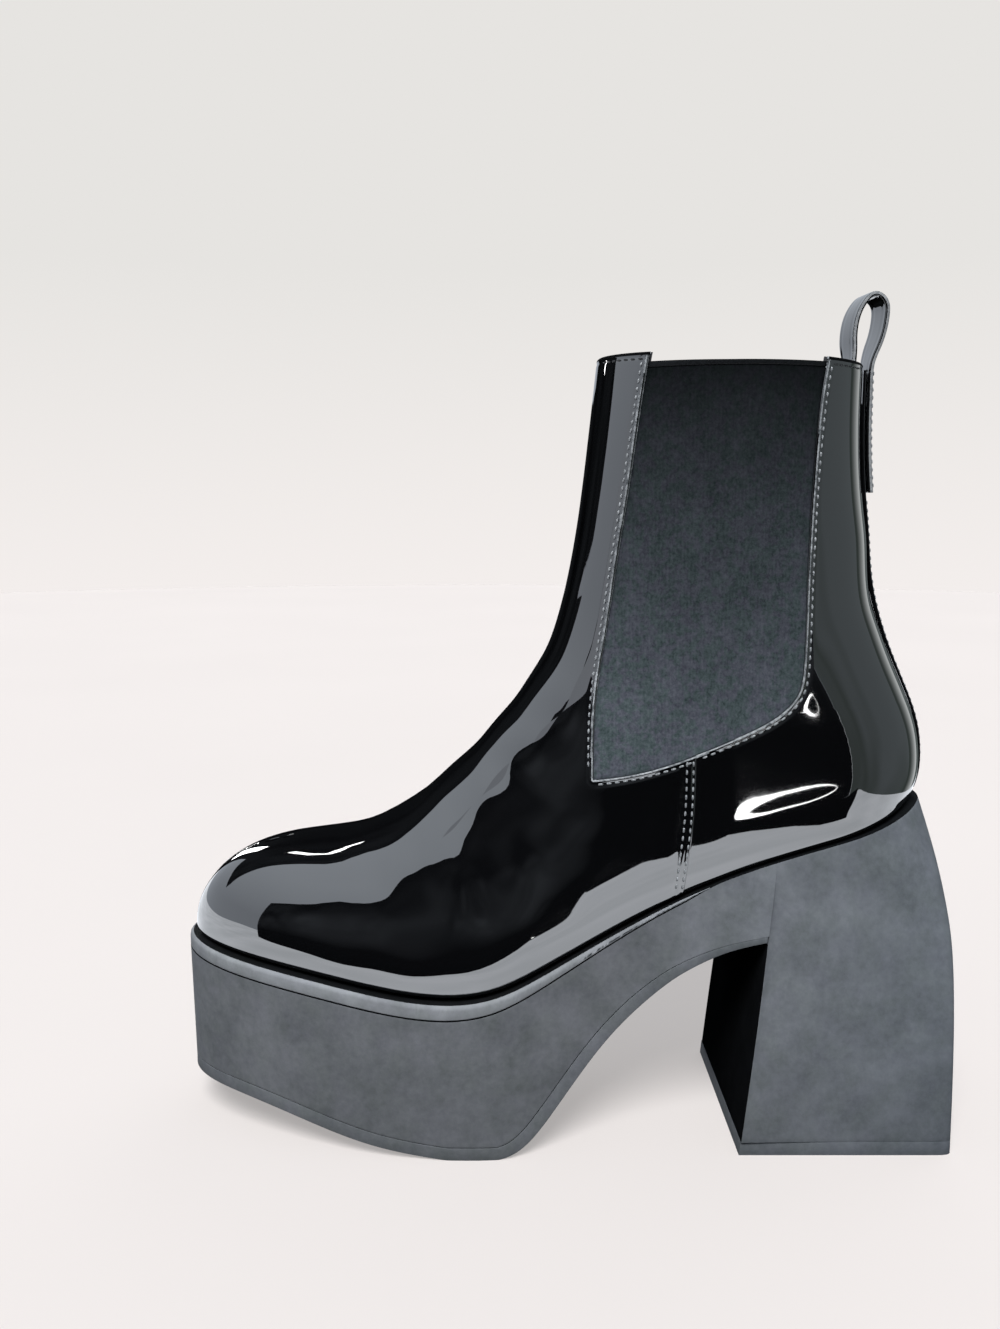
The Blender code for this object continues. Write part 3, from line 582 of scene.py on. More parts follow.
def leather_depth(y, z, side, part):
    """How far the leather lies below the last's own face at a place: turned edges, stitch troughs, the tuck at the
    sole, the lap at the side seam and the creases."""
    leather = bpy.context.scene.boot_leather
    sewing = bpy.context.scene.boot_sewing
    row, radius, trough = sewing.row / MM, leather.edge / MM, leather.trough / MM
    to_gore, to_collar = far_from(y, z, gore_outline), np.maximum(collar_z(y) - z, 0)
    at_gore, at_collar = (
        turned(away, radius) + groove(away, row, ROW_GROOVE, trough) for away in (to_gore, to_collar))
    depth = np.maximum(at_gore, at_collar)
    over_seat = z - seat_z(y)
    depth += leather.tuck / MM * np.clip(1 - over_seat / TUCK_HEIGHT, 0, 1) ** 1.6
    behind = y - np.interp(z, seam_line[::-1, 1], seam_line[::-1, 0])
    if part == "vamp":
        to_seam = far_from(y, z, seam_line)
        depth += turned(to_seam, radius * SEAM_ROUND)
        for place in (SEAM_ROW, SEAM_ROW + sewing.twin / MM):
            depth += groove(to_seam, place, SEAM_GROOVE, trough)
        depth -= LAP * (1 - smooth(-behind / LAP_FADE)) * smooth((seam_line[0, 1] + 4 - z) / 8)
    else:
        under = LAP * (1 - smooth(behind / LAP_FADE)) + (LEATHER + 0.15 - LAP) * smooth((-0.3 - behind) / 1.8)
        depth += under * smooth((seam_line[0, 1] + 6 - z) / 6)
    free = 1 if part == "vamp" else COUNTER
    for away in (over_seat, to_gore, to_collar):
        free = free * smooth(away / CALM_EDGE)
    free *= 1 - SHAFT_CALM * smooth((z - SHAFT_START) / SHAFT_TURN)
    free *= 1 - WAIST_CALM * smooth((y - WAIST_START) / WAIST_LENGTH)
    free *= 1 - PUFF_CALM * smooth((PUFF_START - y) / PUFF_LENGTH)
    return depth + (crease_depth(y, z, side) + wave_depth(y, z, side) * free) * leather.creasing


# ---------------------------------------------------------------- meshes

def new_mesh(name, points, faces):
    """A mesh from points in millimetres."""
    mesh = bpy.data.meshes.new(name)
    mesh.from_pydata((np.asarray(points) * MM).tolist(), [], faces)
    mesh.update()
    return mesh


def add_piece(name, mesh, finish, replaces=()):
    """Puts a piece on the boot; it takes the place of the CAD nodes that it replaces."""
    made = bpy.data.objects.new(name, mesh)
    bpy.context.scene.collection.objects.link(made)
    if not mesh.materials:
        mesh.materials.append(finish())
    mesh.shade_smooth()
    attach(made, BODY)
    if replaces:
        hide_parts(*replaces)
    return made


def grid_faces(rows, count, start=0, flip=False):
    """Faces of a grid of points, numbered row after row."""
    faces = []
    for i in range(rows - 1):
        for j in range(count - 1):
            a = start + i * count + j
            face = (a, a + 1, a + count + 1, a + count)
            faces.append(face[::-1] if flip else face)
    return faces


def strip(first, second):
    """Faces between two closed rings of point numbers."""
    count = len(first)
    return [(first[i], first[(i + 1) % count], second[(i + 1) % count], second[i]) for i in range(count)]


def tube(rings, count, start=0):
    """Faces along closed rings of count points each, numbered one after another."""
    numbers = [range(start + row * count, start + (row + 1) * count) for row in range(rings)]
    return [face for first, second in zip(numbers, numbers[1:]) for face in strip(first, second)]


def bar_faces(rings, count):
    """Faces of a bar along closed rings: both ends first, then its sides."""
    last = (rings - 1) * count
    return [tuple(range(count)), tuple(range(last, last + count))[::-1]] + tube(rings, count)


WELD = 0.002              # points this near to each other are one


def rework(mesh, change):
    """Runs a bmesh change on a mesh."""
    work = bmesh.new()
    work.from_mesh(mesh)
    change(work)
    work.to_mesh(mesh)
    work.free()
    mesh.update()
    return mesh


def weld(mesh):
    """Joins points that lie on each other."""
    return rework(mesh, lambda work: bmesh.ops.remove_doubles(work, verts=work.verts, dist=WELD * MM))


def solid(name, points, faces):
    """A closed mesh with its faces turned outwards."""
    mesh = new_mesh(name, points, faces)
    return rework(mesh, lambda work: bmesh.ops.recalc_face_normals(work, faces=work.faces))


def vectors(items, key):
    """One vector of every item of a mesh, as rows."""
    values = np.empty(len(items) * 3)
    items.foreach_get(key, values)
    return values.reshape(-1, 3)


CLOSED = 0.4              # points this near the middle line are drawn onto it, so that both halves join


def leather_sheet(name, patches, depth):
    """One sheet over both sides of the last from patches of places, moved inwards by depth(y, z, side)."""
    points, faces = [], []
    for side in (1, -1):
        for grid in patches:
            y, z = grid[..., 0], grid[..., 1]
            face = upper_point(y, z, side)
            middle = centre_x(y, z)
            face[..., 0] = np.where(np.abs(face[..., 0] - middle) < CLOSED, middle, face[..., 0])
            start = sum(len(p) for p in points)
            i, j = face.shape[0] // 2, face.shape[1] // 2
            facing = np.cross(face[i + 1, j] - face[i, j], face[i, j + 1] - face[i, j])[0] * side
            faces += grid_faces(*face.shape[:2], start, flip=facing > 0)
            points.append(face.reshape(-1, 3))
    mesh = weld(new_mesh(name, np.concatenate(points), faces))
    place, normal = vectors(mesh.vertices, "co") / MM, vectors(mesh.vertex_normals, "vector")
    x, y, z = place.T
    down = np.where(x >= centre_x(y, z), depth(y, z, 1), depth(y, z, -1))
    mesh.vertices.foreach_set("co", ((place - normal * down[:, None]) * MM).ravel())
    mesh.update()
    return mesh


COLLAR_EDGE = 1.3         # height of the painted edge along the collar
FOLD = (0.25, 0.8)        # where a pale highlight is painted on the gores' folds, from their edge


def finish_edges(mesh):
    """Finishes a leather sheet: film all over, painted black along the collar, a pale highlight painted on the gores'
    folds.
    """
    for finish in (patent_leather, edge_paint, painted_fold_highlight):
        mesh.materials.append(finish())
    _, y, z = vectors(mesh.polygons, "center").T / MM
    to_gore = far_from(y, z, gore_outline)
    # faces on the gores' folds get the painted highlight
    finish = np.where((to_gore > FOLD[0]) & (to_gore < FOLD[1]), 2, 0)
    finish[collar_z(y) - z < COLLAR_EDGE] = 1
    mesh.polygons.foreach_set("material_index", finish)


def thicken(piece, thickness, painted=False):
    """Gives a sheet its thickness, inwards; its cut edges may be painted with its second finish."""
    modifier = piece.modifiers.new("thickness", "SOLIDIFY")
    modifier.thickness = thickness * MM
    modifier.offset = -1
    modifier.use_even_offset = False
    if painted:
        modifier.material_offset_rim = 1


SOFT_ANGLE = 35.0         # edges sharper than this are rounded


def soften(piece, width):
    """Rounds a piece's sharp edges."""
    modifier = piece.modifiers.new("rounded_edges", "BEVEL")
    modifier.width = width * MM
    modifier.segments = 3
    modifier.limit_method = "ANGLE"
    modifier.angle_limit = math.radians(SOFT_ANGLE)
    modifier.harden_normals = False


def sheet(face, back, middle=None):
    """Points and faces of a thin closed solid between two open grids of the same shape. Its edges may have a middle
    line, as many points as the grids' border, which then splits them lengthwise: face side first."""
    rows, count = face.shape[:2]
    number = np.arange(rows * count).reshape(rows, count)
    far = rows * count
    faces = grid_faces(rows, count) + grid_faces(rows, count, far, flip=True)
    border = np.concatenate([number[0, :-1], number[:-1, -1], number[-1, :0:-1], number[:0:-1, 0]])
    points = [face.reshape(-1, 3), back.reshape(-1, 3)]
    lines = [border, border + far]
    if middle is not None:
        points.append(middle.reshape(-1, 3)[border])
        lines.insert(1, 2 * far + np.arange(len(border)))
    for first, second in zip(lines, lines[1:]):
        for a, b, c, d in zip(first, np.roll(first, -1), np.roll(second, -1), second):
            faces.append((int(b), int(a), int(d), int(c)))
    return np.concatenate(points), faces


def finish_from(mesh, first, finish, end=None):
    """Gives the faces of a mesh from number first up to end one more finish."""
    mesh.materials.append(finish())
    for face in mesh.polygons[first:end]:
        face.material_index = len(mesh.materials) - 1


# ---------------------------------------------------------------- stitches

STITCH_PROFILE = ((-0.5, 0.35), (-0.36, 0.85), (0.0, 1.0), (0.36, 0.85), (0.5, 0.35))    # place and thickness


def stitches(name, rows):
    """A mesh of short thread stitches. Every row is (points, normals) along its line."""
    sewing = bpy.context.scene.boot_sewing
    pitch, long, thick = sewing.pitch / MM, sewing.length / MM, sewing.thread / MM
    turn = np.arange(6) / 6 * 2 * np.pi
    points, faces = [], []
    for line, normals in rows:
        reach = lengths(line)
        count = int(reach[-1] / pitch)
        middles = (np.arange(count) + 0.5) * reach[-1] / count
        for middle in middles:
            ends = [np.array([np.interp(middle + half * long / 2, reach, line[:, axis]) for axis in range(3)])
                    for half in (-1, 1)]
            up = np.array([np.interp(middle, reach, normals[:, axis]) for axis in range(3)])
            run = unit(ends[1] - ends[0])
            across = unit(np.cross(run, up))
            up = np.cross(across, run)
            start = len(points)
            for place, size in STITCH_PROFILE:
                ring = (ends[0] + ends[1]) / 2 + run * place * long + up * thick * (0.35 * size - 0.15)
                points += [ring + thick / 2 * size * (across * np.cos(t) + up * np.sin(t)) for t in turn]
            faces += tube(len(STITCH_PROFILE), len(turn), start)
            faces.append(tuple(range(start + len(turn) - 1, start - 1, -1)))
            faces.append(tuple(range(len(points) - len(turn), len(points))))
    return solid(name, np.array(points), faces)


def sewn_line(line, side, part):
    """A stitch row on the leather along a side-view line."""
    y, z = line.T
    place, normal = upper_frame(y, z, side)
    return place - normal * leather_depth(y, z, side, part)[:, None], normal


# ---------------------------------------------------------------- materials

def linear(code):
    """Linear colour from an sRGB hex code."""
    parts = np.array([int(code[i:i + 2], 16) for i in (1, 3, 5)]) / 255
    return tuple(np.where(parts <= 0.04045, parts / 12.92, ((parts + 0.055) / 1.055) ** 2.4)) + (1.0,)


def add(tree, kind, settings=None, links=None):
    """Adds a node: settings are its own fields, the stops of its ramp or its inputs' values, links its inputs'
    sources."""
    node = tree.nodes.new(kind)
    for key, value in (settings or {}).items():
        if key == "stops":
            for stop, (place, colour) in zip(node.color_ramp.elements, value):
                stop.position, stop.color = place, colour
        elif isinstance(key, str) and hasattr(node, key):
            setattr(node, key, value)
        else:
            node.inputs[key].default_value = value
    for key, source in (links or {}).items():
        tree.links.new(source, node.inputs[key])
    return node


def material(name):
    """Turns the drawing of a surface into a call that gives its material, drawn once under this name. The drawing
    gets the tree and the place coordinates, in metres."""
    def named(draw):
        def finish():
            made = bpy.data.materials.get(name)
            if made is None:
                made = bpy.data.materials.new(name)
                made.use_nodes = True
                made.node_tree.nodes.clear()
                draw(made.node_tree, add(made.node_tree, "ShaderNodeTexCoord").outputs["Object"])
            return made
        return finish
    return named


def toned(tree, pattern, first, second, low=0.3, high=0.7, over=None, share=1.0, kind="MIX"):
    """A layer of colour that follows a pattern: first up to low, second from high. Each is a hex code, a ready colour
    or a plain strength. The layer may lie over another colour by a share."""
    stops = []
    for place, value in ((low, first), (high, second)):
        value = linear(value) if isinstance(value, str) else value
        stops.append((place, value if isinstance(value, tuple) else (value, value, value, 1.0)))
    layer = add(tree, "ShaderNodeValToRGB", {"stops": stops}, {"Fac": pattern}).outputs["Color"]
    if over is None:
        return layer
    settings = {"data_type": "RGBA", "blend_type": kind, "Factor": share}
    return add(tree, "ShaderNodeMix", settings, {6: over, 7: layer}).outputs[2]


def cloudy(tree, place, size, first, second, low=0.3, high=0.7, detail=3.0, roughness=0.6, **laid):
    """A layer of uneven colour, in soft patches about size millimetres across: the colour and its bare pattern."""
    settings = {"Scale": 1 / (size * MM), "Detail": detail, "Roughness": roughness}
    pattern = add(tree, "ShaderNodeTexNoise", settings, {"Vector": place}).outputs["Fac"]
    return toned(tree, pattern, first, second, low, high, **laid), pattern


def way_along(tree, place, axis, start, end):
    """How far each point is on the way from start to end (millimetres) along an axis: 0 to 1."""
    value = add(tree, "ShaderNodeSeparateXYZ", {}, {"Vector": place}).outputs[axis]
    settings = {"From Min": start * MM, "From Max": end * MM}
    return add(tree, "ShaderNodeMapRange", settings, {"Value": value}).outputs[0]


def surface(tree, settings, links, relief=None):
    """Ends a material with its shader. Relief is the height of its fine texture: pattern, strength, millimetres."""
    if relief:
        pattern, strength, depth = relief
        bump = add(tree, "ShaderNodeBump", {"Strength": strength, "Distance": depth * MM}, {"Height": pattern})
        links["Normal"] = bump.outputs[0]
    shader = add(tree, "ShaderNodeBsdfPrincipled", settings, links)
    add(tree, "ShaderNodeOutputMaterial", {}, {"Surface": shader.outputs[0]})


@material("patent leather, film coated")
def patent_leather(tree, place):
    """Patent leather: leather under a thick poured film of clear polyurethane. The film gives a mirror with soft
    long waves, faint wipe marks and almost no colour of its own."""
    leather = bpy.context.scene.boot_leather
    wiped = add(tree, "ShaderNodeMapping", {"Scale": (1.0, 0.45, 1.6)}, {"Vector": place}).outputs[0]
    haze, _ = cloudy(tree, wiped, 22, leather.gloss, leather.gloss + 0.03, 0.42, 0.72)
    waves, peel = (
        add(tree, "ShaderNodeTexNoise", {"Scale": 1 / (size * MM), "Detail": 1.0, "Roughness": 0.4}, {"Vector": place})
        for size in (16, 1.6))
    soft = add(tree, "ShaderNodeBump", {"Strength": 0.5, "Distance": 0.04 * MM}, {"Height": waves.outputs["Fac"]})
    fine = add(tree, "ShaderNodeBump", {"Strength": 0.25, "Distance": 0.006 * MM},
               {"Height": peel.outputs["Fac"], "Normal": soft.outputs[0]})
    surface(tree, {
        "Base Color": tuple(leather.colour) + (1.0,), "IOR": 2.1, "Coat Weight": 1.0, "Coat Roughness": 0.02,
        "Coat IOR": 2.3}, {"Roughness": haze, "Normal": fine.outputs[0], "Coat Normal": soft.outputs[0]})


@material("patent leather, painted fold highlight")
def painted_fold_highlight(tree, place):
    """Patent leather on a sharp fold, painted pale grey and less glossy: a painted highlight, the thin pale line that
    the fold catches in the light."""
    colour, _ = cloudy(tree, place, 2.2, "#4C5155", "#A9AFB4", 0.35, 0.65, roughness=0.7)
    surface(tree, {"Roughness": 0.35, "IOR": 1.5}, {"Base Color": colour})


@material("leather, cut edge")
def edge_grey(tree, place):
    """Cut edge of leather left bare: dull grey fibres, slightly furry."""
    colour, fibres = cloudy(tree, place, 0.9, "#6E7276", "#A4A8AB", roughness=0.7)
    surface(tree, {"Roughness": 0.8, "IOR": 1.45, "Specular IOR Level": 0.2}, {"Base Color": colour},
            (fibres, 0.4, 0.1))


@material("edge paint, brushed")
def edge_paint(tree, place):
    """Edge paint: a thick matte black brushed along the cut edges of leather, which hides its layers."""
    colour, streaks = cloudy(tree, place, 1.4, "#030304", "#0C0D0F")
    surface(tree, {"Roughness": 0.7, "IOR": 1.45, "Specular IOR Level": 0.1}, {"Base Color": colour},
            (streaks, 0.3, 0.06))


WAVE_BANDS = 0.314        # scale of a wave pattern whose bands repeat every metre


@material("elastic webbing, woven")
def elastic_webbing(tree, place):
    """Elastic webbing: rubber threads covered with black polyester, woven so close that its ribs hardly show. Matte
    and speckled; its colour is made darkest at its top and greyer low down."""
    ribs = add(tree, "ShaderNodeTexWave", {
        "wave_type": "BANDS", "bands_direction": "Y", "Scale": WAVE_BANDS / bpy.context.scene.boot_elastic.rib,
        "Distortion": 2.0, "Detail": 2.0, "Detail Scale": 30.0}, {"Vector": place}).outputs["Fac"]
    rise = way_along(tree, place, "Z", 125.0, GORE_TOP)
    colour, flecks = cloudy(tree, place, 1.3, "#22282B", "#808A91", 0.34, 0.66, 4.0, 0.8)
    colour, _ = cloudy(tree, place, 4.2, "#34524E", "#5D5A71", 0.44, 0.56, roughness=0.7, over=colour, share=0.45)
    colour, _ = cloudy(tree, place, 14, "#33393D", "#646D74", detail=4.0, roughness=0.65, over=colour, share=0.3)
    colour = toned(tree, ribs, "#101214", "#6A7076", 0.2, 0.9, colour, 0.05)
    # colour made darker up towards the gore's top
    colour = toned(tree, rise, 0.8, 0.42, 0.05, 0.5, colour, kind="MULTIPLY")
    colour = toned(tree, rise, 1.0, 0.12, 0.55, 1.0, colour, kind="MULTIPLY")
    weave = add(tree, "ShaderNodeMath", {"operation": "MULTIPLY_ADD", 1: 0.15}, {0: ribs, 2: flecks}).outputs[0]
    surface(tree, {"Roughness": 0.95, "IOR": 1.45, "Specular IOR Level": 0.3}, {"Base Color": colour},
            (weave, 0.4, 0.15))


@material("binding tape, satin woven")
def binding_tape(tree, place):
    """Folded satin tape, black: close woven, with a low sheen."""
    colour, weave = cloudy(tree, place, 0.7, "#050607", "#15171A", detail=2.0)
    surface(tree, {"Roughness": 0.6, "IOR": 1.5, "Specular IOR Level": 0.3}, {"Base Color": colour},
            (weave, 0.4, 0.1))


def rubber(tree, place, dark, light, dust=1.0, shine=0.06):
    """Rubber from a mould: dull, a little blotchy in cool and greenish greys where dust has settled, with a fine
    pitted skin. Its colour is also made darker towards the floor, and darker and cooler towards the heel."""
    colour, blotch = cloudy(tree, place, 17, dark, light, detail=5.0, roughness=0.62)
    colour, _ = cloudy(tree, place, 9, "#55615C", "#6B6D7C", 0.35, 0.65, 4.0, over=colour, share=0.2 * dust)
    colour, _ = cloudy(tree, place, 2.4, "#505458", "#868A90", detail=4.0, roughness=0.7, over=colour,
                       share=0.22 * dust)
    # colour made darker towards the floor, and darker and cooler towards the heel
    rise, back = way_along(tree, place, "Z", 0, 35), way_along(tree, place, "Y", 20, 120)
    colour = toned(tree, rise, 0.8, 1.0, 0.0, 1.0, colour, kind="MULTIPLY")
    colour = toned(tree, back, "#FFFFFF", "#E7ECF0", 0.0, 1.0, colour, kind="MULTIPLY")
    pits = add(tree, "ShaderNodeTexNoise", {"Scale": 1 / (0.9 * MM), "Detail": 3.0, "Roughness": 0.7},
               {"Vector": place}).outputs["Fac"]
    surface(tree, {"IOR": 1.5, "Specular IOR Level": shine},
            {"Base Color": colour, "Roughness": toned(tree, blotch, 0.6, 0.74)}, (pits, 0.35, 0.12))


@material("moulded rubber")
def moulded_rubber(tree, place):
    """Foamed rubber of the sole unit: a light dusty grey."""
    rubber(tree, place, "#5B5F62", "#808489")


@material("moulded rubber, painted gap shadow")
def painted_gap_shadow_rubber(tree, place):
    """The same rubber painted nearly black: a painted shadow for the dark gap on the narrow ledge beside the upper."""
    rubber(tree, place, "#040405", "#0B0C0D", 0.1)


@material("moulded rubber, painted heel shade")
def painted_heel_shade_rubber(tree, place):
    """The same rubber painted nearly black and without its shine on the heel's front face under the arch: painted
    shade for the shadow that the arch casts there."""
    rubber(tree, place, "#0D0E0F", "#17181A", 0.04, 0.0)


@material("solid rubber, moulded")
def tread_rubber(tree, place):
    """Denser moulded rubber of the outsole, a little darker than the foamed unit."""
    rubber(tree, place, "#54585B", "#6B6F73")


@material("moulded rubber, scuffed")
def scuffed_rubber(tree, place):
    """Rubber of the rim band: scuffed lighter along its edge by wear and wiping."""
    rubber(tree, place, "#7C8084", "#A0A5AA")


@material("textile lining, brushed")
def textile_lining(tree, place):
    """Brushed textile lining, dark grey: no shine and a fine even weave."""
    colour, weave = cloudy(tree, place, 0.8, "#26272A", "#44464A", detail=2.0)
    colour, _ = cloudy(tree, place, 18, "#2C2D30", "#3C3E42", over=colour, share=0.5)
    surface(tree, {"Roughness": 0.9, "IOR": 1.45, "Sheen Weight": 0.3}, {"Base Color": colour}, (weave, 0.5, 0.2))


def thread(tree, place, dark, light):
    """Bonded nylon thread: slightly shiny and twisted."""
    colour, twist = cloudy(tree, place, 0.4, dark, light, detail=1.0, roughness=0.5)
    surface(tree, {"Roughness": 0.3, "IOR": 1.6}, {"Base Color": colour}, (twist, 0.4, 0.1))


@material("nylon thread, bonded")
def highlight_painted_thread(tree, place):
    """Bonded black nylon thread, painted pale grey: the colour stands for the highlights that the thread catches."""
    thread(tree, place, "#5C6064", "#B4BABF")


@material("nylon thread, bonded black")
def hem_thread(tree, place):
    """The same thread in its own black, with no highlight painted in, used along the collar."""
    thread(tree, place, "#0E0F10", "#2C2E31")


@material("studio board, painted")
def painted_floor(tree, place):
    """Painted board of the studio, lit through: pale, matte, with soft shallow shadows and the faintest unevenness."""
    stage = bpy.context.scene.boot_stage
    dark, light = (tuple(share * c for c in stage.floor) + (1.0,) for share in (0.415, 0.43))
    colour, _ = cloudy(tree, place, 400, dark, light, detail=2.0, roughness=0.5)
    surface(tree, {
        "Roughness": 0.8, "Specular IOR Level": 0.0, "Emission Color": tuple(stage.floor) + (1.0,),
        "Emission Strength": stage.glow}, {"Base Color": colour})


# ---------------------------------------------------------------- sole forms

def ledge(y):
    """How far the sole's rim stands out beyond the upper."""
    return LEDGE_TOE + (LEDGE_HEEL - LEDGE_TOE) * smooth((y - LEDGE_START) / LEDGE_LENGTH)


def toe_end(tip, half, steps):
    """The rounded toe from TOE_START forwards: y and half width."""
    turn = np.linspace(0, np.pi / 2, steps + 1)[1:]
    y = TOE_START - (TOE_START - tip) * np.sin(turn)
    return y, half(y) * np.clip(np.cos(turn), 0, 1) ** (2 / TOE_POWER)


def foot_edge(start, steps, toe_steps, tip, half):
    """One side of an outline from y = start to the toe's tip."""
    y = np.linspace(start, TOE_START, steps + 1)
    toe_y, toe_half = toe_end(tip, half, toe_steps)
    return np.concatenate([y, toe_y]), np.concatenate([half(y), toe_half])


def rim_half(y):
    """Half width of the sole's rim."""
    return seat_half(y) + ledge(y)


def breast_y(z):
    """Front face of the heel."""
    return BREAST_FOOT + (BREAST_TOP - BREAST_FOOT) * z / BREAST_TOP_Z


TREAD_THINS = 22.0        # from here the outsole thins out towards the heel
TREAD_THINNING = 0.55


def tread_edge(depth, gap, steps, toe_steps):
    """One side of the tread, depth above the ground side, from the heel's front face to the toe: y, half width
    and z."""
    toe_y, toe_half = toe_end(TREAD_TIP, tread_half, toe_steps)
    count = np.arange(len(tread_line))
    heel_end = np.interp(-BREAST_TOP, -tread_line[:, 0], count)
    arch_place = np.linspace(heel_end, np.interp(-TOE_START, -tread_line[:, 0], count), steps + 1)
    place = np.concatenate([arch_place, np.interp(-toe_y, -tread_line[:, 0], count)])
    thin = depth * (1 - TREAD_THINNING * smooth((tread_line[:, 0] - TREAD_THINS) / (BREAST_TOP - TREAD_THINS)))
    above = offset(tread_line, -thin[:, None])
    free = above[:, 0] - breast_y(above[:, 1]) + gap
    place[0] = np.interp(0, -free, count)
    y, z = (np.interp(place, count, above[:, axis]) for axis in (0, 1))
    arch_half = tread_half(np.interp(arch_place, count, tread_line[:, 0]))
    return y, np.concatenate([arch_half, toe_half]), z


def heel_plan(z, turn):
    """Rounded back of the heel at a height: y and half width, for turn from 0 to 90 degrees."""
    power = 2 / heel_power(z)
    back = heel_back(z) - HEEL_ROUND * (1 - np.cos(turn) ** power)
    return back, heel_half(z) * np.sin(turn) ** power


def pair(y, half, z, centre, end=0):
    """A ring of paired points: along the outer side from heel to toe, and back along the inner side up to its end."""
    outer, inner = (np.stack([centre + side * half, y, z], 1) for side in (1, -1))
    return np.concatenate([outer, inner[-2:end:-1]])


def flat_start(y, half, z, centre):
    """The same outline starting on the middle of a flat back edge."""
    starts = ((y[0], y), (0.0, half), (z[0], z), (centre[0], centre))
    return [np.concatenate([[first], values]) for first, values in starts]


def ladder(ring):
    """Faces across a ring whose points pair up left and right."""
    count = len(ring)
    half = count // 2
    faces = [(ring[-2], ring[-1], ring[0], ring[1], ring[2])]
    faces += [(ring[i], ring[i + 1], ring[count - i - 1], ring[count - i]) for i in range(2, half - 2)]
    faces.append((ring[half - 2], ring[half - 1], ring[half], ring[half + 1], ring[half + 2]))
    return faces


def stack(name, rings):
    """A solid between the first and the last of its rings, whose points pair up left and right."""
    count = len(rings[0])
    last = (len(rings) - 1) * count
    faces = ladder(range(count)) + ladder(range(last, last + count)) + tube(len(rings), count)
    return solid(name, np.concatenate(rings), faces)


def welt_drop(y):
    """Height of the rim band under the seat line; it runs out at the waist."""
    grown = WELT_END_HEIGHT + (WELT_HEIGHT - WELT_END_HEIGHT) * smooth((WELT_END - y) / WELT_GROWTH)
    return grown * smooth((WELT_END + 4 - y) / 14)


TIP_GAP = 0.08            # between the heel block and its top piece
HEEL_FORM = 34.0          # from here back the arch's sides take on the heel's form
SOLE_ROWS = (0.0, 0.012, 0.025, *np.linspace(0.05, 0.97, 44), 0.985, 1.0)     # from the rim band down to the tread


def sole_rings():
    """Rings of platform, arch and heel block, from under the rim band down to the tread."""
    heel_steps, side_steps, breast_steps, arch_steps, toe_steps = 28, 24, 24, 110, 44
    turn = np.linspace(0, np.pi / 2, heel_steps + 1)
    floor, top = HEEL_TIP + TIP_GAP, HEEL["z"][-1]
    tread_y, tread_half_width, tread_z = tread_edge(OUTSOLE + GAP, 0, arch_steps, toe_steps)
    rim_y, rim_half_width = foot_edge(BREAST_RIM - RIM_STEP, arch_steps, toe_steps, RIM_TIP, rim_half)
    rim_back = heel_plan(top, turn)[0]
    side = np.arange(1, side_steps + 1) / side_steps
    rim_side = blend(rim_back[-1], BREAST_RIM, side)
    spare = heel_half(seat_z(rim_side)) - rim_half(rim_side)
    to_heel = smooth((rim_y - HEEL_FORM) / (BREAST_RIM - RIM_STEP - HEEL_FORM))
    climb = np.arange(1, breast_steps + 1) / (breast_steps + 1)
    front_z = blend(floor, tread_z[0], climb)
    front_y_line = BREAST_RIM - RIM_STEP * climb
    rings = []
    for v in SOLE_ROWS:
        back, back_half = heel_plan(blend(top, floor, v), turn)
        back_z = blend(seat_z(rim_back) - GAP, floor, v)
        side_z = blend(seat_z(rim_side) - GAP, floor, v)
        side_y = blend(back[-1], blend(BREAST_RIM, breast_y(floor), v), side)
        side_half = heel_half(side_z) - spare * (1 - v) ** 2
        rim_z = seat_z(rim_y) - GAP - welt_drop(rim_y)
        y = np.concatenate([back, side_y, blend(front_y_line, breast_y(front_z), v), blend(rim_y, tread_y, v)])
        down_z, arch_z = blend(seat_z(front_y_line) - GAP, front_z, v), blend(rim_z, tread_z, v)
        z = np.concatenate([back_z, side_z, down_z, arch_z])
        front_half = heel_half(down_z) - (heel_half(seat_z(front_y_line)) - rim_half(front_y_line)) * (1 - v) ** 2
        shaped = heel_half(arch_z) - (heel_half(seat_z(rim_y)) - rim_half_width) * (1 - v) ** 2
        shaped += (tread_half_width - heel_half(tread_z)) * v
        arch_half = blend(blend(rim_half_width, tread_half_width, v), shaped, to_heel)
        half = np.concatenate([back_half, side_half, front_half, arch_half])
        rings.append(pair(y, half, z, seat_centre(y)))
    return rings


TICK_SEED = 5
TICK_DEPTH = 0.07         # depth of the fine scuffs across the rim's edge
TICK_FADE = 20.0
RIM_ROUND, RIM_FOOT_ROUND = 1.5, 0.35       # rounding of the band's upper and lower edge


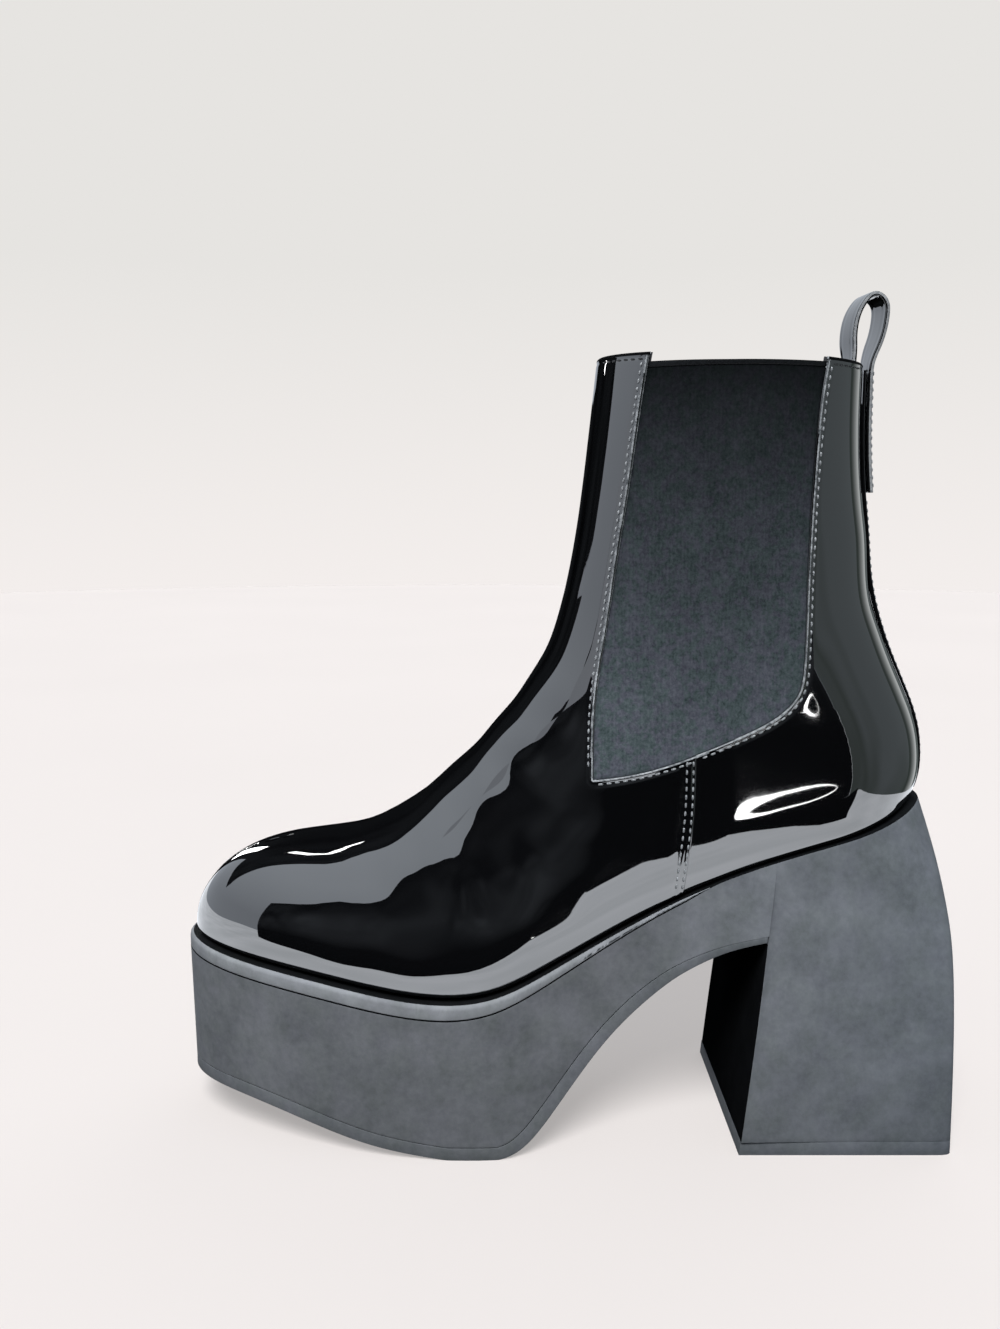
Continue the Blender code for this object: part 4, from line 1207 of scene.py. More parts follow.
def welt_mesh():
    """The rim band: an open ring of sections with a well rounded upper edge, tapering out at the waist."""
    y, half = foot_edge(WELT_END, 300, 150, RIM_TIP, rim_half)
    inner_y, inner_half = foot_edge(WELT_END, 300, 150, RIM_TIP + WELT_WIDTH, lambda at: rim_half(at) - WELT_WIDTH)
    ticks = np.random.default_rng(TICK_SEED).normal(0, TICK_DEPTH, len(y))
    worn = ticks * smooth((WELT_END - y) / TICK_FADE)
    top, inner_top = seat_z(y) - GAP, seat_z(inner_y) - GAP
    height, inner_height = (np.maximum(welt_drop(at) - 0.35, 0.25) for at in (y, inner_y))
    rounding = np.minimum(RIM_ROUND, height * 0.6)
    foot = np.minimum(RIM_FOOT_ROUND, height * 0.3)
    corners = []
    for angle in np.linspace(0, np.pi / 2, 6):
        rubbed = worn * np.sin(angle) / WELT_WIDTH
        corners.append((1 - (1 - np.sin(angle)) * rounding / WELT_WIDTH - rubbed, -(1 - np.cos(angle)) * rounding))
    corners.append((1 - 0.4 * worn / WELT_WIDTH, -height * 0.6))
    for angle in np.linspace(0, np.pi / 2, 4):
        corners.append((1 - (1 - np.cos(angle)) * foot / WELT_WIDTH, -height + foot * (1 - np.sin(angle))))
    lines = [(blend(inner_y, y, share), blend(inner_half, half, share), blend(inner_top, top, share) + down)
             for share, down in corners]
    lines += [(inner_y, inner_half, inner_top - inner_height), (inner_y, inner_half, inner_top)]
    sections = np.stack([pair(at, width, z, seat_centre(at), None) for at, width, z in lines], 1)
    mesh = solid("rim_band", sections.reshape(-1, 3), bar_faces(*sections.shape[:2]))
    for finish in (scuffed_rubber, painted_gap_shadow_rubber):
        mesh.materials.append(finish())
    around = len(lines)
    # the ledge's faces get the rubber painted nearly black, a painted shadow gap under the upper's edge
    for face in mesh.polygons[2:]:
        if (face.index - 2) % around in (0, around - 1):      # the ledge beside the upper
            face.material_index = 1
    return mesh


# ---------------------------------------------------------------- settings

def metres(name, description, default, **limits):
    """A setting that is a length."""
    return bpy.props.FloatProperty(name=name, description=description, default=default, unit="LENGTH", **limits)


def number(name, description, default, **limits):
    """A setting that is a plain number."""
    return bpy.props.FloatProperty(name=name, description=description, default=default, **limits)


def paint(name, description, code):
    """A setting that is a colour."""
    return bpy.props.FloatVectorProperty(
        name=name, description=description, default=linear(code)[:3], subtype="COLOR", size=3, min=0, max=1)


class BootLeather(bpy.types.PropertyGroup):
    colour: paint("Colour", "Colour under the clear film", "#0B0C0E")
    gloss: number("Haze", "Roughness of the clear film: lower is more like a mirror", 0.02, min=0, max=1)
    edge: metres("Edge round", "Radius of the turned edges", 0.0009, min=0.0001)
    trough: metres("Stitch trough", "How deep a stitch row pulls the leather in", 0.00018)
    tuck: metres("Tuck", "How far the leather turns in where it meets the sole", 0.0018)
    creasing: number("Creasing", "Strength of the soft creases", 1.0, min=0, max=2)


class BootSewing(bpy.types.PropertyGroup):
    pitch: metres("Pitch", "Distance from stitch to stitch", 0.0026, min=0.001)
    length: metres("Stitch length", "Visible length of one stitch", 0.0016)
    thread: metres("Thread", "Thickness of the thread", 0.0007)
    row: metres("Row", "Distance of a row from the edge", 0.0017)
    twin: metres("Twin rows", "Distance between the two rows of the side seam", 0.0021)


class BootElastic(bpy.types.PropertyGroup):
    rib: metres("Rib", "Distance from rib to rib, drawn coarser than the real 0.6 mm to show", 0.0011, min=0.0002)
    bulge: metres("Bulge", "How far the elastic stands out in its middle", 0.0005)
    binding: metres("Binding", "Height of the folded tape on its top edge", 0.0015)


class BootSole(bpy.types.PropertyGroup):
    edge: metres("Edge round", "Rounding of the sole's moulded edges", 0.0003)


class BootStage(bpy.types.PropertyGroup):
    floor: paint("Floor", "Colour of the studio floor", "#F6F1EF")
    glow: number("Floor glow", "Light that comes through the floor and keeps the shadows shallow", 0.42, min=0)
    light: number("Key light", "Strength of the soft light from the front", 4.0, min=0)
    fill: number("Fill light", "Strength of the soft light from behind", 0.5, min=0)
    room: number("Room", "Brightness of the room above the floor", 0.5, min=0)


# ---------------------------------------------------------------- pieces

def leather_piece(name, patches, part):
    """A piece of patent leather that stands for the upper, with its thickness and finished edges."""
    mesh = leather_sheet(name, patches, lambda y, z, side: leather_depth(y, z, side, part))
    finish_edges(mesh)
    thicken(add_piece(name, mesh, patent_leather, ("upper",)), LEATHER, True)


class BOOT_OT_vamp(bpy.types.Operator):
    """Vamp with the shaft's front strip, one piece of patent leather"""
    bl_idname = "boot.vamp"
    bl_label = "Vamp"

    def execute(self, context):
        leather_piece("vamp", vamp_patches((34, 16, 62, 58)), "vamp")
        return {"FINISHED"}


class BOOT_OT_quarters(bpy.types.Operator):
    """Both quarters, from the side seams round the heel, with the shaft's back strips"""
    bl_idname = "boot.quarters"
    bl_label = "Quarters"

    def execute(self, context):
        leather_piece("quarters", quarter_patches((34, 38, 34, 44)), "quarter")
        return {"FINISHED"}


INSOLE_PLAY = 0.2         # between the covered insole and the lining
INSOLE_LIFT = 0.1         # its underside above the seat
INSOLE_ROUND = 0.8        # rounding of its turned edge


class BOOT_OT_lining(bpy.types.Operator):
    """Textile lining inside the leather, and the covered insole"""
    bl_idname = "boot.lining"
    bl_label = "Lining and insole"

    def execute(self, context):
        patches = vamp_patches((12, 6, 24, 20)) + quarter_patches((12, 14, 12, 16))
        mesh = leather_sheet("lining", patches, lambda y, z, side: LINING_DEPTH + 0 * y)
        thicken(add_piece("lining", mesh, textile_lining, ("upper",)), LINING)
        clear = LINING_DEPTH + LINING + INSOLE_PLAY
        turn = np.linspace(0, np.pi / 2, 25)
        back = SEAT["y"][-1] - clear
        heel_y = back - (HEEL_ROUND - clear) * (1 - np.cos(turn) ** (2 / ROUND_POWER))
        heel_width = (seat_half(heel_y) - clear) * np.sin(turn) ** (2 / ROUND_POWER)
        y, half = foot_edge(heel_y[-1] - 2, 70, 30, TOE_TIP + clear, lambda at: seat_half(at) - clear)
        y, half = np.concatenate([heel_y, y]), np.concatenate([heel_width, half])
        rings = [pair(y, half, seat_z(y) + rise, seat_centre(y)) for rise in (INSOLE_LIFT, INSOLE)]
        board = add_piece("insole_cover", stack("insole_cover", rings), textile_lining, ("insole",))
        soften(board, INSOLE_ROUND)
        return {"FINISHED"}


def gore_grid(side, reach, columns, rows):
    """Places and normals over a gore, reach beyond its cut edges."""
    front = offset(upto(path(GORE_FRONT, 200), GORE_TOP), reach)
    lower = offset(path(GORE_LOWER, 200), -reach)
    back = offset(upto(path(GORE_BACK, 200), GORE_TOP), -reach)
    front[0] = lower[0] = gore_lower[0] - (reach, reach)
    lower[-1] = back[0] = (lower[-1] + back[0]) / 2
    a, b = np.meshgrid(np.linspace(0, 1, columns), np.linspace(0, 1, rows))
    left, right, low = along(front, b), along(back, b), along(lower, a)
    a, b = a[..., None], b[..., None]
    top = blend(front[-1], back[-1], a)
    corners = blend(blend(lower[0], lower[-1], a), top, b)
    seen = blend(left, right, a) + blend(low, top, b) - corners
    return seen, a[..., 0], b[..., 0], *upper_frame(seen[..., 0], seen[..., 1], side)


SWELL_POWER = 0.7         # below 1 the elastic's swell is full right up to its edges
TAPE_POINTS = 60
TAPE_HALF = 0.62          # half thickness of the folded tape
TAPE_SQUARE = 1.4         # 1 is a plain ellipse in section


class BOOT_OT_gores(bpy.types.Operator):
    """Elastic gores behind the leather's cut-outs, with a folded tape on their top edges"""
    bl_idname = "boot.gores"
    bl_label = "Elastic gores"

    def execute(self, context):
        elastic = context.scene.boot_elastic
        for side, name in ((1, "outer"), (-1, "inner")):
            seen, a, b, face, normal = gore_grid(side, TUCKED, 56, 96)
            swell = (np.sin(np.pi * a) * np.sin(np.pi * np.clip(b * 1.1, 0, 1))) ** SWELL_POWER
            depth = (GORE_DEPTH - elastic.bulge / MM * swell)[..., None]
            points, faces = sheet(face - normal * depth, face - normal * (depth + ELASTIC))
            mesh = solid("gore_" + name, points, faces)
            add_piece("gore_" + name, mesh, elastic_webbing, ("elastic_gore_" + name,))
            top, width = seen[-1], elastic.binding / MM
            y = np.linspace(top[0, 0], top[-1, 0], TAPE_POINTS)
            ring = []
            for turn in np.linspace(0, 2 * np.pi, 17)[:-1]:
                up = np.clip(np.sin(turn) * TAPE_SQUARE, -1, 1) * width / 2
                out = np.clip(np.cos(turn) * TAPE_SQUARE, -1, 1) * TAPE_HALF
                place, away = upper_frame(y, GORE_TOP - width / 2 + up + 0 * y, side)
                ring.append(place - away * (GORE_DEPTH + ELASTIC / 2 - out))
            ring = np.stack(ring, 1)
            tape = solid("gore_tape_" + name, ring.reshape(-1, 3), bar_faces(*ring.shape[:2]))
            add_piece("gore_tape_" + name, tape, binding_tape)
        return {"FINISHED"}


def back_face(x, z):
    """Point of the upper's back at a height and a distance from the seam."""
    share = np.abs(x) / shaft_half(z)
    reach = shaft_back(z) * (1 - np.clip(1 - share ** ROUND_POWER, 0, 1) ** (1 / ROUND_POWER))
    return np.stack([x + 0 * z, back_y(z) - reach, z + 0 * x], -1)


STRAP_SHARE = np.array((
    0, 0.012, 0.035, 0.07, 0.12, 0.17, 0.24, 0.34, 0.5, 0.66, 0.76, 0.83, 0.88, 0.93, 0.965, 0.988, 1)) * 2 - 1
STRAP_ROW, STRAP_ROW_WIDTH = 0.68, 0.09     # place and width of a strap's stitch troughs, in its half widths


def strap_face(thickness, edge, power, trough):
    """Height of a strap's face across its width: a share of its thickness at the rounded edges, less the troughs."""
    share = np.abs(STRAP_SHARE)
    rise = thickness * (edge + (1 - edge) * (1 - share ** power) ** (1 / 3))
    return (rise - trough * np.exp(-((share - STRAP_ROW) / STRAP_ROW_WIDTH) ** 2))[None, :, None]


LOOP_SPLIT = 0.35         # depth of the line in its edge where the bare leather ends and the paint begins


class BOOT_OT_straps(bpy.types.Operator):
    """Strap over the back seam, and the pull loop folded into its top"""
    bl_idname = "boot.straps"
    bl_label = "Back strap and pull loop"

    def execute(self, context):
        x, z = np.meshgrid(STRAP_SHARE * STRAP_WIDTH / 2, np.linspace(STRAP_BOTTOM, STRAP_TOP, 150))
        base = back_face(x, z)
        normal = unit(np.cross(np.gradient(base, axis=0), np.gradient(base, axis=1)))
        normal *= np.sign(normal[75, 8, 1])
        trough = context.scene.boot_leather.trough / MM
        base += normal * GAP
        points, faces = sheet(base + normal * strap_face(STRAP_THICKNESS, 0.8, 10, trough), base)
        mesh = solid("back_strap_leather", points, faces)
        mesh.materials.append(patent_leather())
        finish_from(mesh, 2 * (x.shape[0] - 1) * (x.shape[1] - 1), edge_paint)
        add_piece("back_strap_leather", mesh, patent_leather, ("back_strap",))
        middle, wide, left = loop_frame(220)
        band = middle[:, None, :] + wide[:, None, :] * (STRAP_SHARE * LOOP_WIDTH / 2)[None, :, None]
        rise = left[:, None, :] * strap_face(LOOP_THICKNESS / 2, 0.72, 8, 0.8 * trough)
        points, faces = sheet(band + rise, band - rise, band - rise * LOOP_SPLIT)
        mesh = solid("pull_loop_leather", points, faces)
        mesh.materials.append(patent_leather())
        first_edge = 2 * (len(middle) - 1) * (len(STRAP_SHARE) - 1)
        finish_from(mesh, first_edge, edge_grey)
        finish_from(mesh, (first_edge + len(mesh.polygons)) // 2, edge_paint)
        add_piece("pull_loop_leather", mesh, patent_leather, ("pull_loop",))
        return {"FINISHED"}


def loop_line(count):
    """The loop's middle line: up inside the collar, round, and down over the back strap."""
    inside_z = np.linspace(LOOP_INSIDE, LOOP_PATH["z"][0] - LOOP_JOIN, 4)
    outside_z = np.linspace(LOOP_PATH["z"][-1] - LOOP_JOIN, LOOP_OUTSIDE, 8)
    inside_y = back_y(inside_z) - WALL - 3 * GAP - LOOP_THICKNESS / 2
    outside_y = back_y(outside_z) + 2 * GAP + STRAP_THICKNESS + LOOP_THICKNESS / 2
    y = np.concatenate([inside_y, LOOP_PATH["y"], outside_y])
    z = np.concatenate([inside_z, LOOP_PATH["z"], outside_z])
    return path({"y": y, "z": z}, count)


HEM_ROW = 2.3             # stitch row below the collar's edge
HEM_MARGIN = 1.5
HEM_END = 96.0            # beside the back strap
STRAP_ROW_END = 2.0
LOOP_ROW = 0.42           # place of its stitch rows, as a share of its width
LOOP_TURN = 6.0           # degrees that the free loop has turned about the upright
LOOP_TURN_HEIGHT = 8.0


def loop_frame(count):
    """The loop's middle line in space, with the directions across its width and out of its face."""
    line = loop_line(count)
    run = unit(np.gradient(line, axis=0))
    turn = math.radians(LOOP_TURN) * smooth((line[:, 1] - COLLAR_BACK) / LOOP_TURN_HEIGHT)
    middle = np.stack([0 * turn, line[:, 0], line[:, 1]], 1)
    wide = np.stack([np.cos(turn), np.sin(turn), 0 * turn], 1)
    left = np.stack([run[:, 1] * np.sin(turn), -run[:, 1] * np.cos(turn), run[:, 0]], 1)
    return middle, wide, left


class BOOT_OT_stitches(bpy.types.Operator):
    """Every visible row of stitches on leather and straps"""
    bl_idname = "boot.stitches"
    bl_label = "Stitches"

    def execute(self, context):
        sewing = context.scene.boot_sewing
        row, twin = sewing.row / MM, sewing.twin / MM
        rows, hems = [], []
        for side in (1, -1):
            rows.append(sewn_line(offset(gore_front, row)[3:-3], side, "vamp"))
            lower = offset(gore_lower, -row)
            split = np.argmin(np.abs(lower[:, 0] - seam_line[0, 0]))
            rows.append(sewn_line(lower[1:split - 1], side, "vamp"))
            rows.append(sewn_line(lower[split + 2:], side, "quarter"))
            rows.append(sewn_line(offset(gore_back, -row)[:-3], side, "quarter"))
            for distance in (SEAM_ROW, SEAM_ROW + twin):
                rows.append(sewn_line(offset(seam_line, -distance)[2:-3], side, "vamp"))
            for start, end, part in ((front_line[-1, 0] + 1, gore_front[-1, 0] - HEM_MARGIN, "vamp"),
                                     (gore_back[-1, 0] + HEM_MARGIN, HEM_END, "quarter")):
                hems.append(sewn_line(collar_run(start, end) - (0, HEM_ROW), side, part))
            z = np.linspace(STRAP_BOTTOM + STRAP_ROW_END, LOOP_OUTSIDE - STRAP_ROW_END, 120)
            base = back_face(np.full(len(z), side * STRAP_WIDTH * STRAP_ROW / 2), z)
            out = np.tile((0.0, 1.0, 0.0), (len(z), 1))
            rows.append((base + out * (GAP + STRAP_THICKNESS), out))
            middle, wide, left = loop_frame(200)
            outer = middle + side * wide * LOOP_WIDTH * LOOP_ROW + left * LOOP_THICKNESS / 2
            tail = (outer[:, 1] > back_y(COLLAR_BACK)) & (outer[:, 2] < COLLAR_BACK)
            rows.append((outer[tail][2:-2], left[tail][2:-2]))
        # stitches on gores, seam, strap and loop are painted pale grey as a highlight
        add_piece("stitches", stitches("stitches", rows), highlight_painted_thread)
        add_piece("hem_stitches", stitches("hem_stitches", hems), hem_thread)
        return {"FINISHED"}


HEEL_FRONT_START = 0.8 * BREAST_FOOT    # faces behind this line that face forwards get painted shade: the heel's front face under the arch
HEEL_FRONT_FACING = -0.6


class BOOT_OT_sole(bpy.types.Operator):
    """Moulded sole unit of platform, arch and heel block, with the rim band round the toe"""
    bl_idname = "boot.sole"
    bl_label = "Sole unit"

    def execute(self, context):
        edge = context.scene.boot_sole.edge / MM
        rings = sole_rings()
        mesh = stack("sole_unit", rings)
        mesh.materials.append(moulded_rubber())
        # the unit's top, under the rim band, gets the same rubber painted black as a shadow gap
        finish_from(mesh, 0, painted_gap_shadow_rubber, len(ladder(rings[0])))
        # the heel's front face under the arch gets the rubber painted black as shade
        mesh.materials.append(painted_heel_shade_rubber())
        for face in mesh.polygons:
            place = face.center / MM
            if place.y > HEEL_FRONT_START and place.z < BREAST_TOP_Z and face.normal.y < HEEL_FRONT_FACING:
                face.material_index = 2
        soften(add_piece("sole_unit", mesh, moulded_rubber, ("platform_heel",)), edge)
        add_piece("rim_band", welt_mesh(), scuffed_rubber, ("welt",))
        return {"FINISHED"}


class BOOT_OT_treads(bpy.types.Operator):
    """Thin outsole under forefoot and arch, and the heel's top piece"""
    bl_idname = "boot.treads"
    bl_label = "Outsole and heel tip"

    def execute(self, context):
        edge = context.scene.boot_sole.edge / MM
        rings = []
        for depth in (0.0, OUTSOLE):
            y, half, z = tread_edge(depth, GAP, 110, 44)
            rings.append(pair(*flat_start(y, half, z, seat_centre(y))))
        tread = add_piece("tread", stack("tread", rings), tread_rubber, ("outsole",))
        soften(tread, edge * 0.5)
        turn = np.linspace(0, np.pi / 2, 29)
        rings = []
        for z in (0.0, HEEL_TIP):
            y, half = heel_plan(z, turn)
            y = np.concatenate([y, [breast_y(z), breast_y(z)]])
            half = np.concatenate([half, [half[-1], 0.0]])
            rings.append(pair(y, half, np.full(len(y), z), np.zeros(len(y))))
        tip = add_piece("top_piece", stack("top_piece", rings), moulded_rubber, ("heel_tip",))
        soften(tip, edge * 0.5)
        return {"FINISHED"}


# ---------------------------------------------------------------- stage

CAMERA_PLACE = (409.6, -21.3, 209.6)
CAMERA_PITCH = 5.0
CAMERA_LENS = 32.88
FLOOR_SIZE = 2600.0       # radius of the studio floor
SWEEP = 700.0             # radius of its curve up into the wall
WALL_TOP = 3500.0
DOME = 1800.0             # radius of the dome that only shows in the gloss
WALL_LOW, WALL_HIGH = "#F3EEEC", "#E6E4E1"
SHINE_LOW, SHINE_HIGH = "#E2E7ED", "#F4F8FF"
SHINE = 1.28              # brightness of the floor as the gloss shows it
SKY_LOW, SKY_HIGH = "#ADB3BC", "#D0D7E0"

# cards round the boot that only show in its gloss: plan lines with the height of their lower and upper edge
FLAG = table(
    "x y low high",
    (200, -455, 0, 310),
    (185, -196, 0, 290),
    (238, -56, 0, 300),
    (421, 77, 0, 400),
    (508, 139, 0, 460),
    (520, 250, 0, 460))
CORNER_CARD = table("x y low high", (60, -82, 168, 260), (60, -10, 168, 260))
SIDE_CARD = table(
    "x y low high",
    (520, 252, 0, 700),
    (470, 335, 0, 700),
    (0, 345, 0, 700),
    (-600, 345, 0, 700))
REAR_CARD = table(
    "x y low high",
    (-190, 110, 0, 255),
    (-190, -50, 0, 262),
    (-190, -75, 0, 800),
    (-190, -190, 0, 800),
    (-190, -250, 200, 800),
    (-190, -440, 250, 560),
    (-190, -700, 290, 340))
TOE_LIGHT = table("x y low high", (-184, -200, 92, 172), (-184, -178, 92, 172))
TOE_LINE = table("x y low high", (-184, -206, 305, 385), (-184, -190, 305, 385))
SCREEN = table(
    "x y low high",
    (250, -20, 46, 75),
    (250, 64, 46, 75),
    (250, 70, 42.5, 75),
    (250, 86, 44.5, 75),
    (250, 91, 46, 61),
    (250, 107, 42, 61),
    (250, 118, 35, 61.5),
    (250, 133, 26, 63),
    (250, 157, 0, 64),
    (250, 200, 0, 65.5))
SEAM_SCREEN = table("x y low high", (70, 40, 93, 135), (70, 59, 93, 135))
RIM_CARD = table("x y low high", (-60, 343, 0, 460), (-230, 343, 0, 460))

# bright frames like window panes on the black cloth: the middle, half sizes, tilt and thickness of each
PANES = table(
    "x y z wide tall tilt bar",
    (496, 172, 26, 35, 14, 16, 5),
    (496, 195, 89, 5.8, 7.5, 0, 2.2))
FLAG_FOOT, FLAG_TOP = 76.0, 300.0
WALL_GRADE = 900.0        # height at which the wall has taken its upper colour
CAMERA_SHIFT = (0.0053, -0.0439)
GLOSS_ONLY = ("camera", "diffuse", "shadow", "transmission", "volume_scatter")   # ways in which a card isn't seen
TURN = 96                 # points round the floor, the wall and the dome


def lamp(name, place, strength, spread, colour="#FFFFFF"):
    """A soft far lamp that lights dull surfaces from a place and stays out of the gloss."""
    data = bpy.data.lights.new(name, "SUN")
    data.energy = strength
    data.angle = math.radians(spread)
    data.color = linear(colour)[:3]
    made = bpy.data.objects.new(name, data)
    bpy.context.scene.collection.objects.link(made)
    made.location = place
    made.rotation_euler = (-made.location).to_track_quat("-Z", "Y").to_euler()
    made.visible_glossy = False


def shine(tree, colour, strength=1.0):
    """Ends a material that gives light of its own."""
    light = add(tree, "ShaderNodeEmission", {"Strength": strength}, {"Color": colour})
    add(tree, "ShaderNodeOutputMaterial", {}, {"Surface": light.outputs[0]})


def cloth(name, first, second, size=200, strength=1.0, hung=()):
    """Evenly lit cloth of a card, cloudy between two colours. Hung cloth turns plain black near its foot and its top,
    with soft borders."""
    @material(name)
    def drawn(tree, place):
        colour, _ = cloudy(tree, place, size, first, second, 0.35, 0.65, 2.0, 0.5)
        for start, end in hung:
            shown = way_along(tree, place, "Z", start, end)
            colour = toned(tree, shown, 0.0, 1.0, 0.0, 1.0, colour, kind="MULTIPLY")
        shine(tree, colour, strength)
    return drawn()


def graded(name, start, end, first, second, axis="Z"):
    """Paper lit from one colour at a place start along an axis to another at end."""
    @material(name)
    def drawn(tree, place):
        shine(tree, toned(tree, way_along(tree, place, axis, start, end), first, second, 0.0, 1.0))
    return drawn()


def put_up(name, points, faces, finish, unseen=GLOSS_ONLY):
    """An object of the stage, left out of some ways of being seen."""
    made = bpy.data.objects.new(name, new_mesh(name, points, faces))
    made.data.materials.append(finish)
    for way in unseen:
        setattr(made, "visible_" + way, False)
    bpy.context.scene.collection.objects.link(made)
    return made


def card(name, rows, finish):
    """An upright card along a plan line."""
    line = np.stack([rows[key] for key in ("x", "y", "low", "high")], 1)
    line = at_length(line, np.linspace(0, lengths(line)[-1], 40))
    edges = np.stack([line[:, :3], line[:, (0, 1, 3)]], 1)
    return put_up(name, edges.reshape(-1, 3), grid_faces(40, 2), finish)


def lathe(profile):
    """A surface turned round the upright axis from (radius, z) rows: its points and faces."""
    turn = np.arange(TURN) / TURN * 2 * np.pi
    rings = [np.stack([r * np.cos(turn), r * np.sin(turn), np.full(TURN, z)], 1) for r, z in profile]
    return np.concatenate(rings), tube(len(rings), TURN)


PANE_SHIFT = 0.9          # how far a frame's opening sits to one side, in thicknesses of its bar
PANE_POINTS = 48


def pane(name, x, y, z, wide, tall, tilt, bar, finish):
    """An upright bright frame with rounded ends, facing the boot."""
    turn = np.arange(PANE_POINTS) / PANE_POINTS * 2 * np.pi
    lean = math.radians(tilt)
    rings = []
    for grow in (0.0, -bar):
        across = (wide + grow) * np.cos(turn) - grow * PANE_SHIFT
        up = (tall + grow * 0.6) * np.sin(turn)
        rings.append(np.stack([
            x + 0 * turn, y + across * np.cos(lean) - up * np.sin(lean),
            z + across * np.sin(lean) + up * np.cos(lean)], 1))
    return put_up(name, np.concatenate(rings), tube(2, PANE_POINTS), finish)


def set_camera():
    """The main camera, on the boot's outer side and turned a little down."""
    data = bpy.data.cameras.new("camera")
    data.lens = CAMERA_LENS
    data.sensor_width = 36
    data.shift_x, data.shift_y = CAMERA_SHIFT
    data.clip_start = 0.01
    camera = bpy.data.objects.new("camera", data)
    camera.location = [v * MM for v in CAMERA_PLACE]
    camera.rotation_euler = (math.radians(90 - CAMERA_PITCH), 0, math.radians(90))
    bpy.context.scene.collection.objects.link(camera)
    bpy.context.scene.camera = camera


def light_room(strength):
    """A weak pale world above the floor."""
    world = bpy.data.worlds.new("room")
    world.use_nodes = True
    tree = world.node_tree
    tree.nodes.clear()
    way = add(tree, "ShaderNodeTexCoord").outputs["Generated"]
    up = add(tree, "ShaderNodeSeparateXYZ", {}, {"Vector": way}).outputs["Z"]
    sky = toned(tree, up, "#000000", "#BFC4CC", 0.0, 0.05)
    room = add(tree, "ShaderNodeBackground", {"Strength": strength}, {"Color": sky})
    add(tree, "ShaderNodeOutputWorld", {}, {"Surface": room.outputs[0]})
    bpy.context.scene.world = world


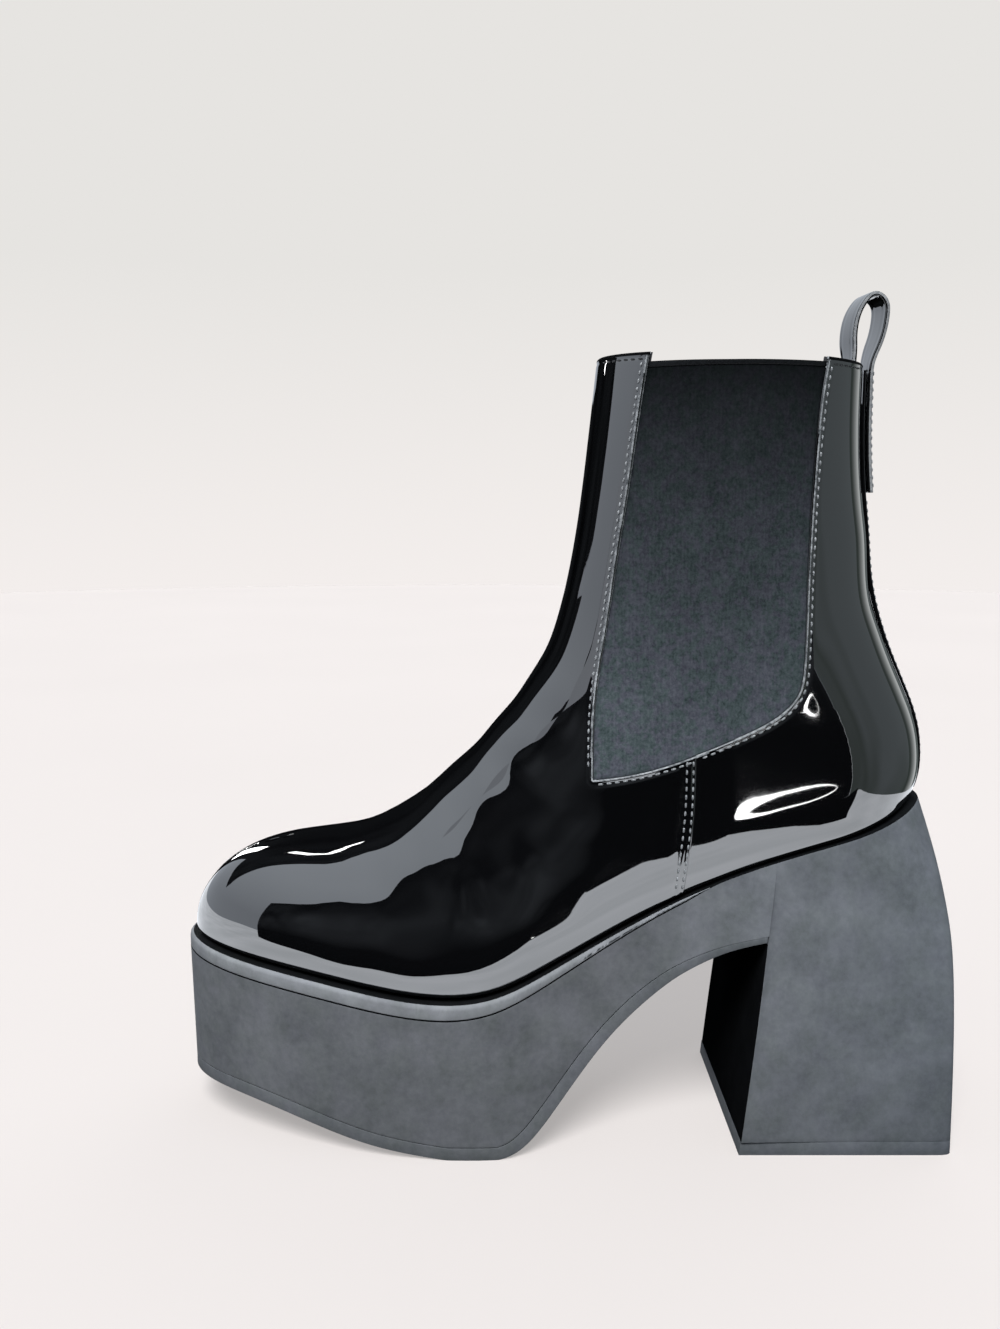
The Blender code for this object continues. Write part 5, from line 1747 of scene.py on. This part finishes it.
class BOOT_OT_stage(bpy.types.Operator):
    """Pale floor and backdrop, soft lamps, cards that show in the gloss, and the camera"""
    bl_idname = "boot.stage"
    bl_label = "Stage"

    def execute(self, context):
        stage = context.scene.boot_stage
        disc, _ = lathe([(FLOOR_SIZE, 0.0)])
        whole = [tuple(range(TURN))]
        floor = put_up("floor", disc, whole, painted_floor(), ("diffuse", "glossy"))
        profile = [(FLOOR_SIZE + SWEEP * np.sin(t), SWEEP * (1 - np.cos(t))) for t in np.linspace(0, np.pi / 2, 12)]
        profile.append((FLOOR_SIZE + SWEEP, WALL_TOP))
        paper = graded("backdrop paper, lit", 0, WALL_GRADE, WALL_LOW, WALL_HIGH)
        wall = put_up("backdrop", *lathe(profile), paper, ("diffuse", "glossy", "shadow"))
        wall.data.shade_smooth()
        cloths = [card(*row) for row in (
            ("flag", FLAG, cloth("black cloth", "#030304", "#45484C", 160, hung=(
                (FLAG_FOOT, 2 * FLAG_FOOT), (FLAG_TOP, 0.6 * FLAG_TOP)))),
            ("side_card", SIDE_CARD, cloth("grey cloth", "#4E5652", "#70777A", 300)),
            ("rear_card", REAR_CARD, cloth("dark cloth", "#000000", "#1C1E20", 160)),
            ("corner_card", CORNER_CARD, cloth("pale cloth", "#A9AEB6", "#B4B9C2", 300)))]
        sky = graded("dome paper, lit", 0.25 * DOME, 0.85 * DOME, SKY_LOW, SKY_HIGH)
        rise = np.linspace(0, np.pi / 2 - 0.01, 24)
        dome = put_up("dome", *lathe(DOME * np.stack([np.cos(rise), np.sin(rise)], 1)), sky)
        white = cloth("lit paper", "#FFFFFF", "#FFFFFF", strength=7.0)
        velvet = cloth("black velvet", "#000000", "#000000")
        spots = [card(*row) for row in (
            ("toe_light", TOE_LIGHT, white), ("toe_line", TOE_LINE, white),
            ("screen", SCREEN, velvet), ("seam_screen", SEAM_SCREEN, velvet),
            ("rim_card", RIM_CARD, graded("lit cloth, graded", -80, -190, "#4C5451", "#D2D6D6", "X")))]
        mirror = cloth("floor shine", SHINE_LOW, SHINE_HIGH, 130, SHINE)
        spots.append(put_up("floor_shine", disc - (0, 0, 1), whole, mirror))
        spots += [pane("pane_%d" % number, *row, white) for number, row in enumerate(zip(*PANES.values()))]
        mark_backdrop(floor, wall, *cloths, dome, *spots)
        light_room(stage.room)
        lamp("key", (0.75, -0.12, 0.95), stage.light, 26, "#FFFDFC")
        lamp("fill", (-0.8, 0.6, 0.7), stage.fill, 60)
        set_camera()
        context.scene.view_settings.view_transform = "Standard"
        return {"FINISHED"}


class BOOT_PT_panel(bpy.types.Panel):
    """Lists the boot's pieces and settings"""
    bl_idname = "BOOT_PT_panel"
    bl_label = "Platform Chelsea Boot"
    bl_space_type = "VIEW_3D"
    bl_region_type = "UI"
    bl_category = "Boot"

    def draw(self, context):
        for group in GROUPS:
            box = self.layout.box()
            settings = getattr(context.scene, group)
            for field in settings.bl_rna.properties:
                if field.identifier not in ("rna_type", "name"):
                    box.prop(settings, field.identifier)
        for operator in OPERATORS:
            self.layout.operator(operator.bl_idname)


GROUPS = {
    "boot_leather": BootLeather,
    "boot_sewing": BootSewing,
    "boot_elastic": BootElastic,
    "boot_sole": BootSole,
    "boot_stage": BootStage,
}
OPERATORS = (
    BOOT_OT_vamp, BOOT_OT_quarters, BOOT_OT_lining, BOOT_OT_gores, BOOT_OT_straps, BOOT_OT_stitches, BOOT_OT_sole,
    BOOT_OT_treads, BOOT_OT_stage)


def register():
    for group, settings in GROUPS.items():
        bpy.utils.register_class(settings)
        setattr(bpy.types.Scene, group, bpy.props.PointerProperty(type=settings))
    for item in OPERATORS + (BOOT_PT_panel,):
        bpy.utils.register_class(item)


def unregister():
    for item in reversed(OPERATORS + (BOOT_PT_panel,)):
        bpy.utils.unregister_class(item)
    for group, settings in reversed(GROUPS.items()):
        delattr(bpy.types.Scene, group)
        bpy.utils.unregister_class(settings)


def main():
    register()
    for operator in OPERATORS:
        group, name = operator.bl_idname.split(".")
        getattr(getattr(bpy.ops, group), name)()
    boxes = {"cad": CAD_BOX, "visual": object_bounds()}
    {key: [list(corner) for corner in box] for key, box in boxes.items()}


if __name__ == "__main__":
    main()
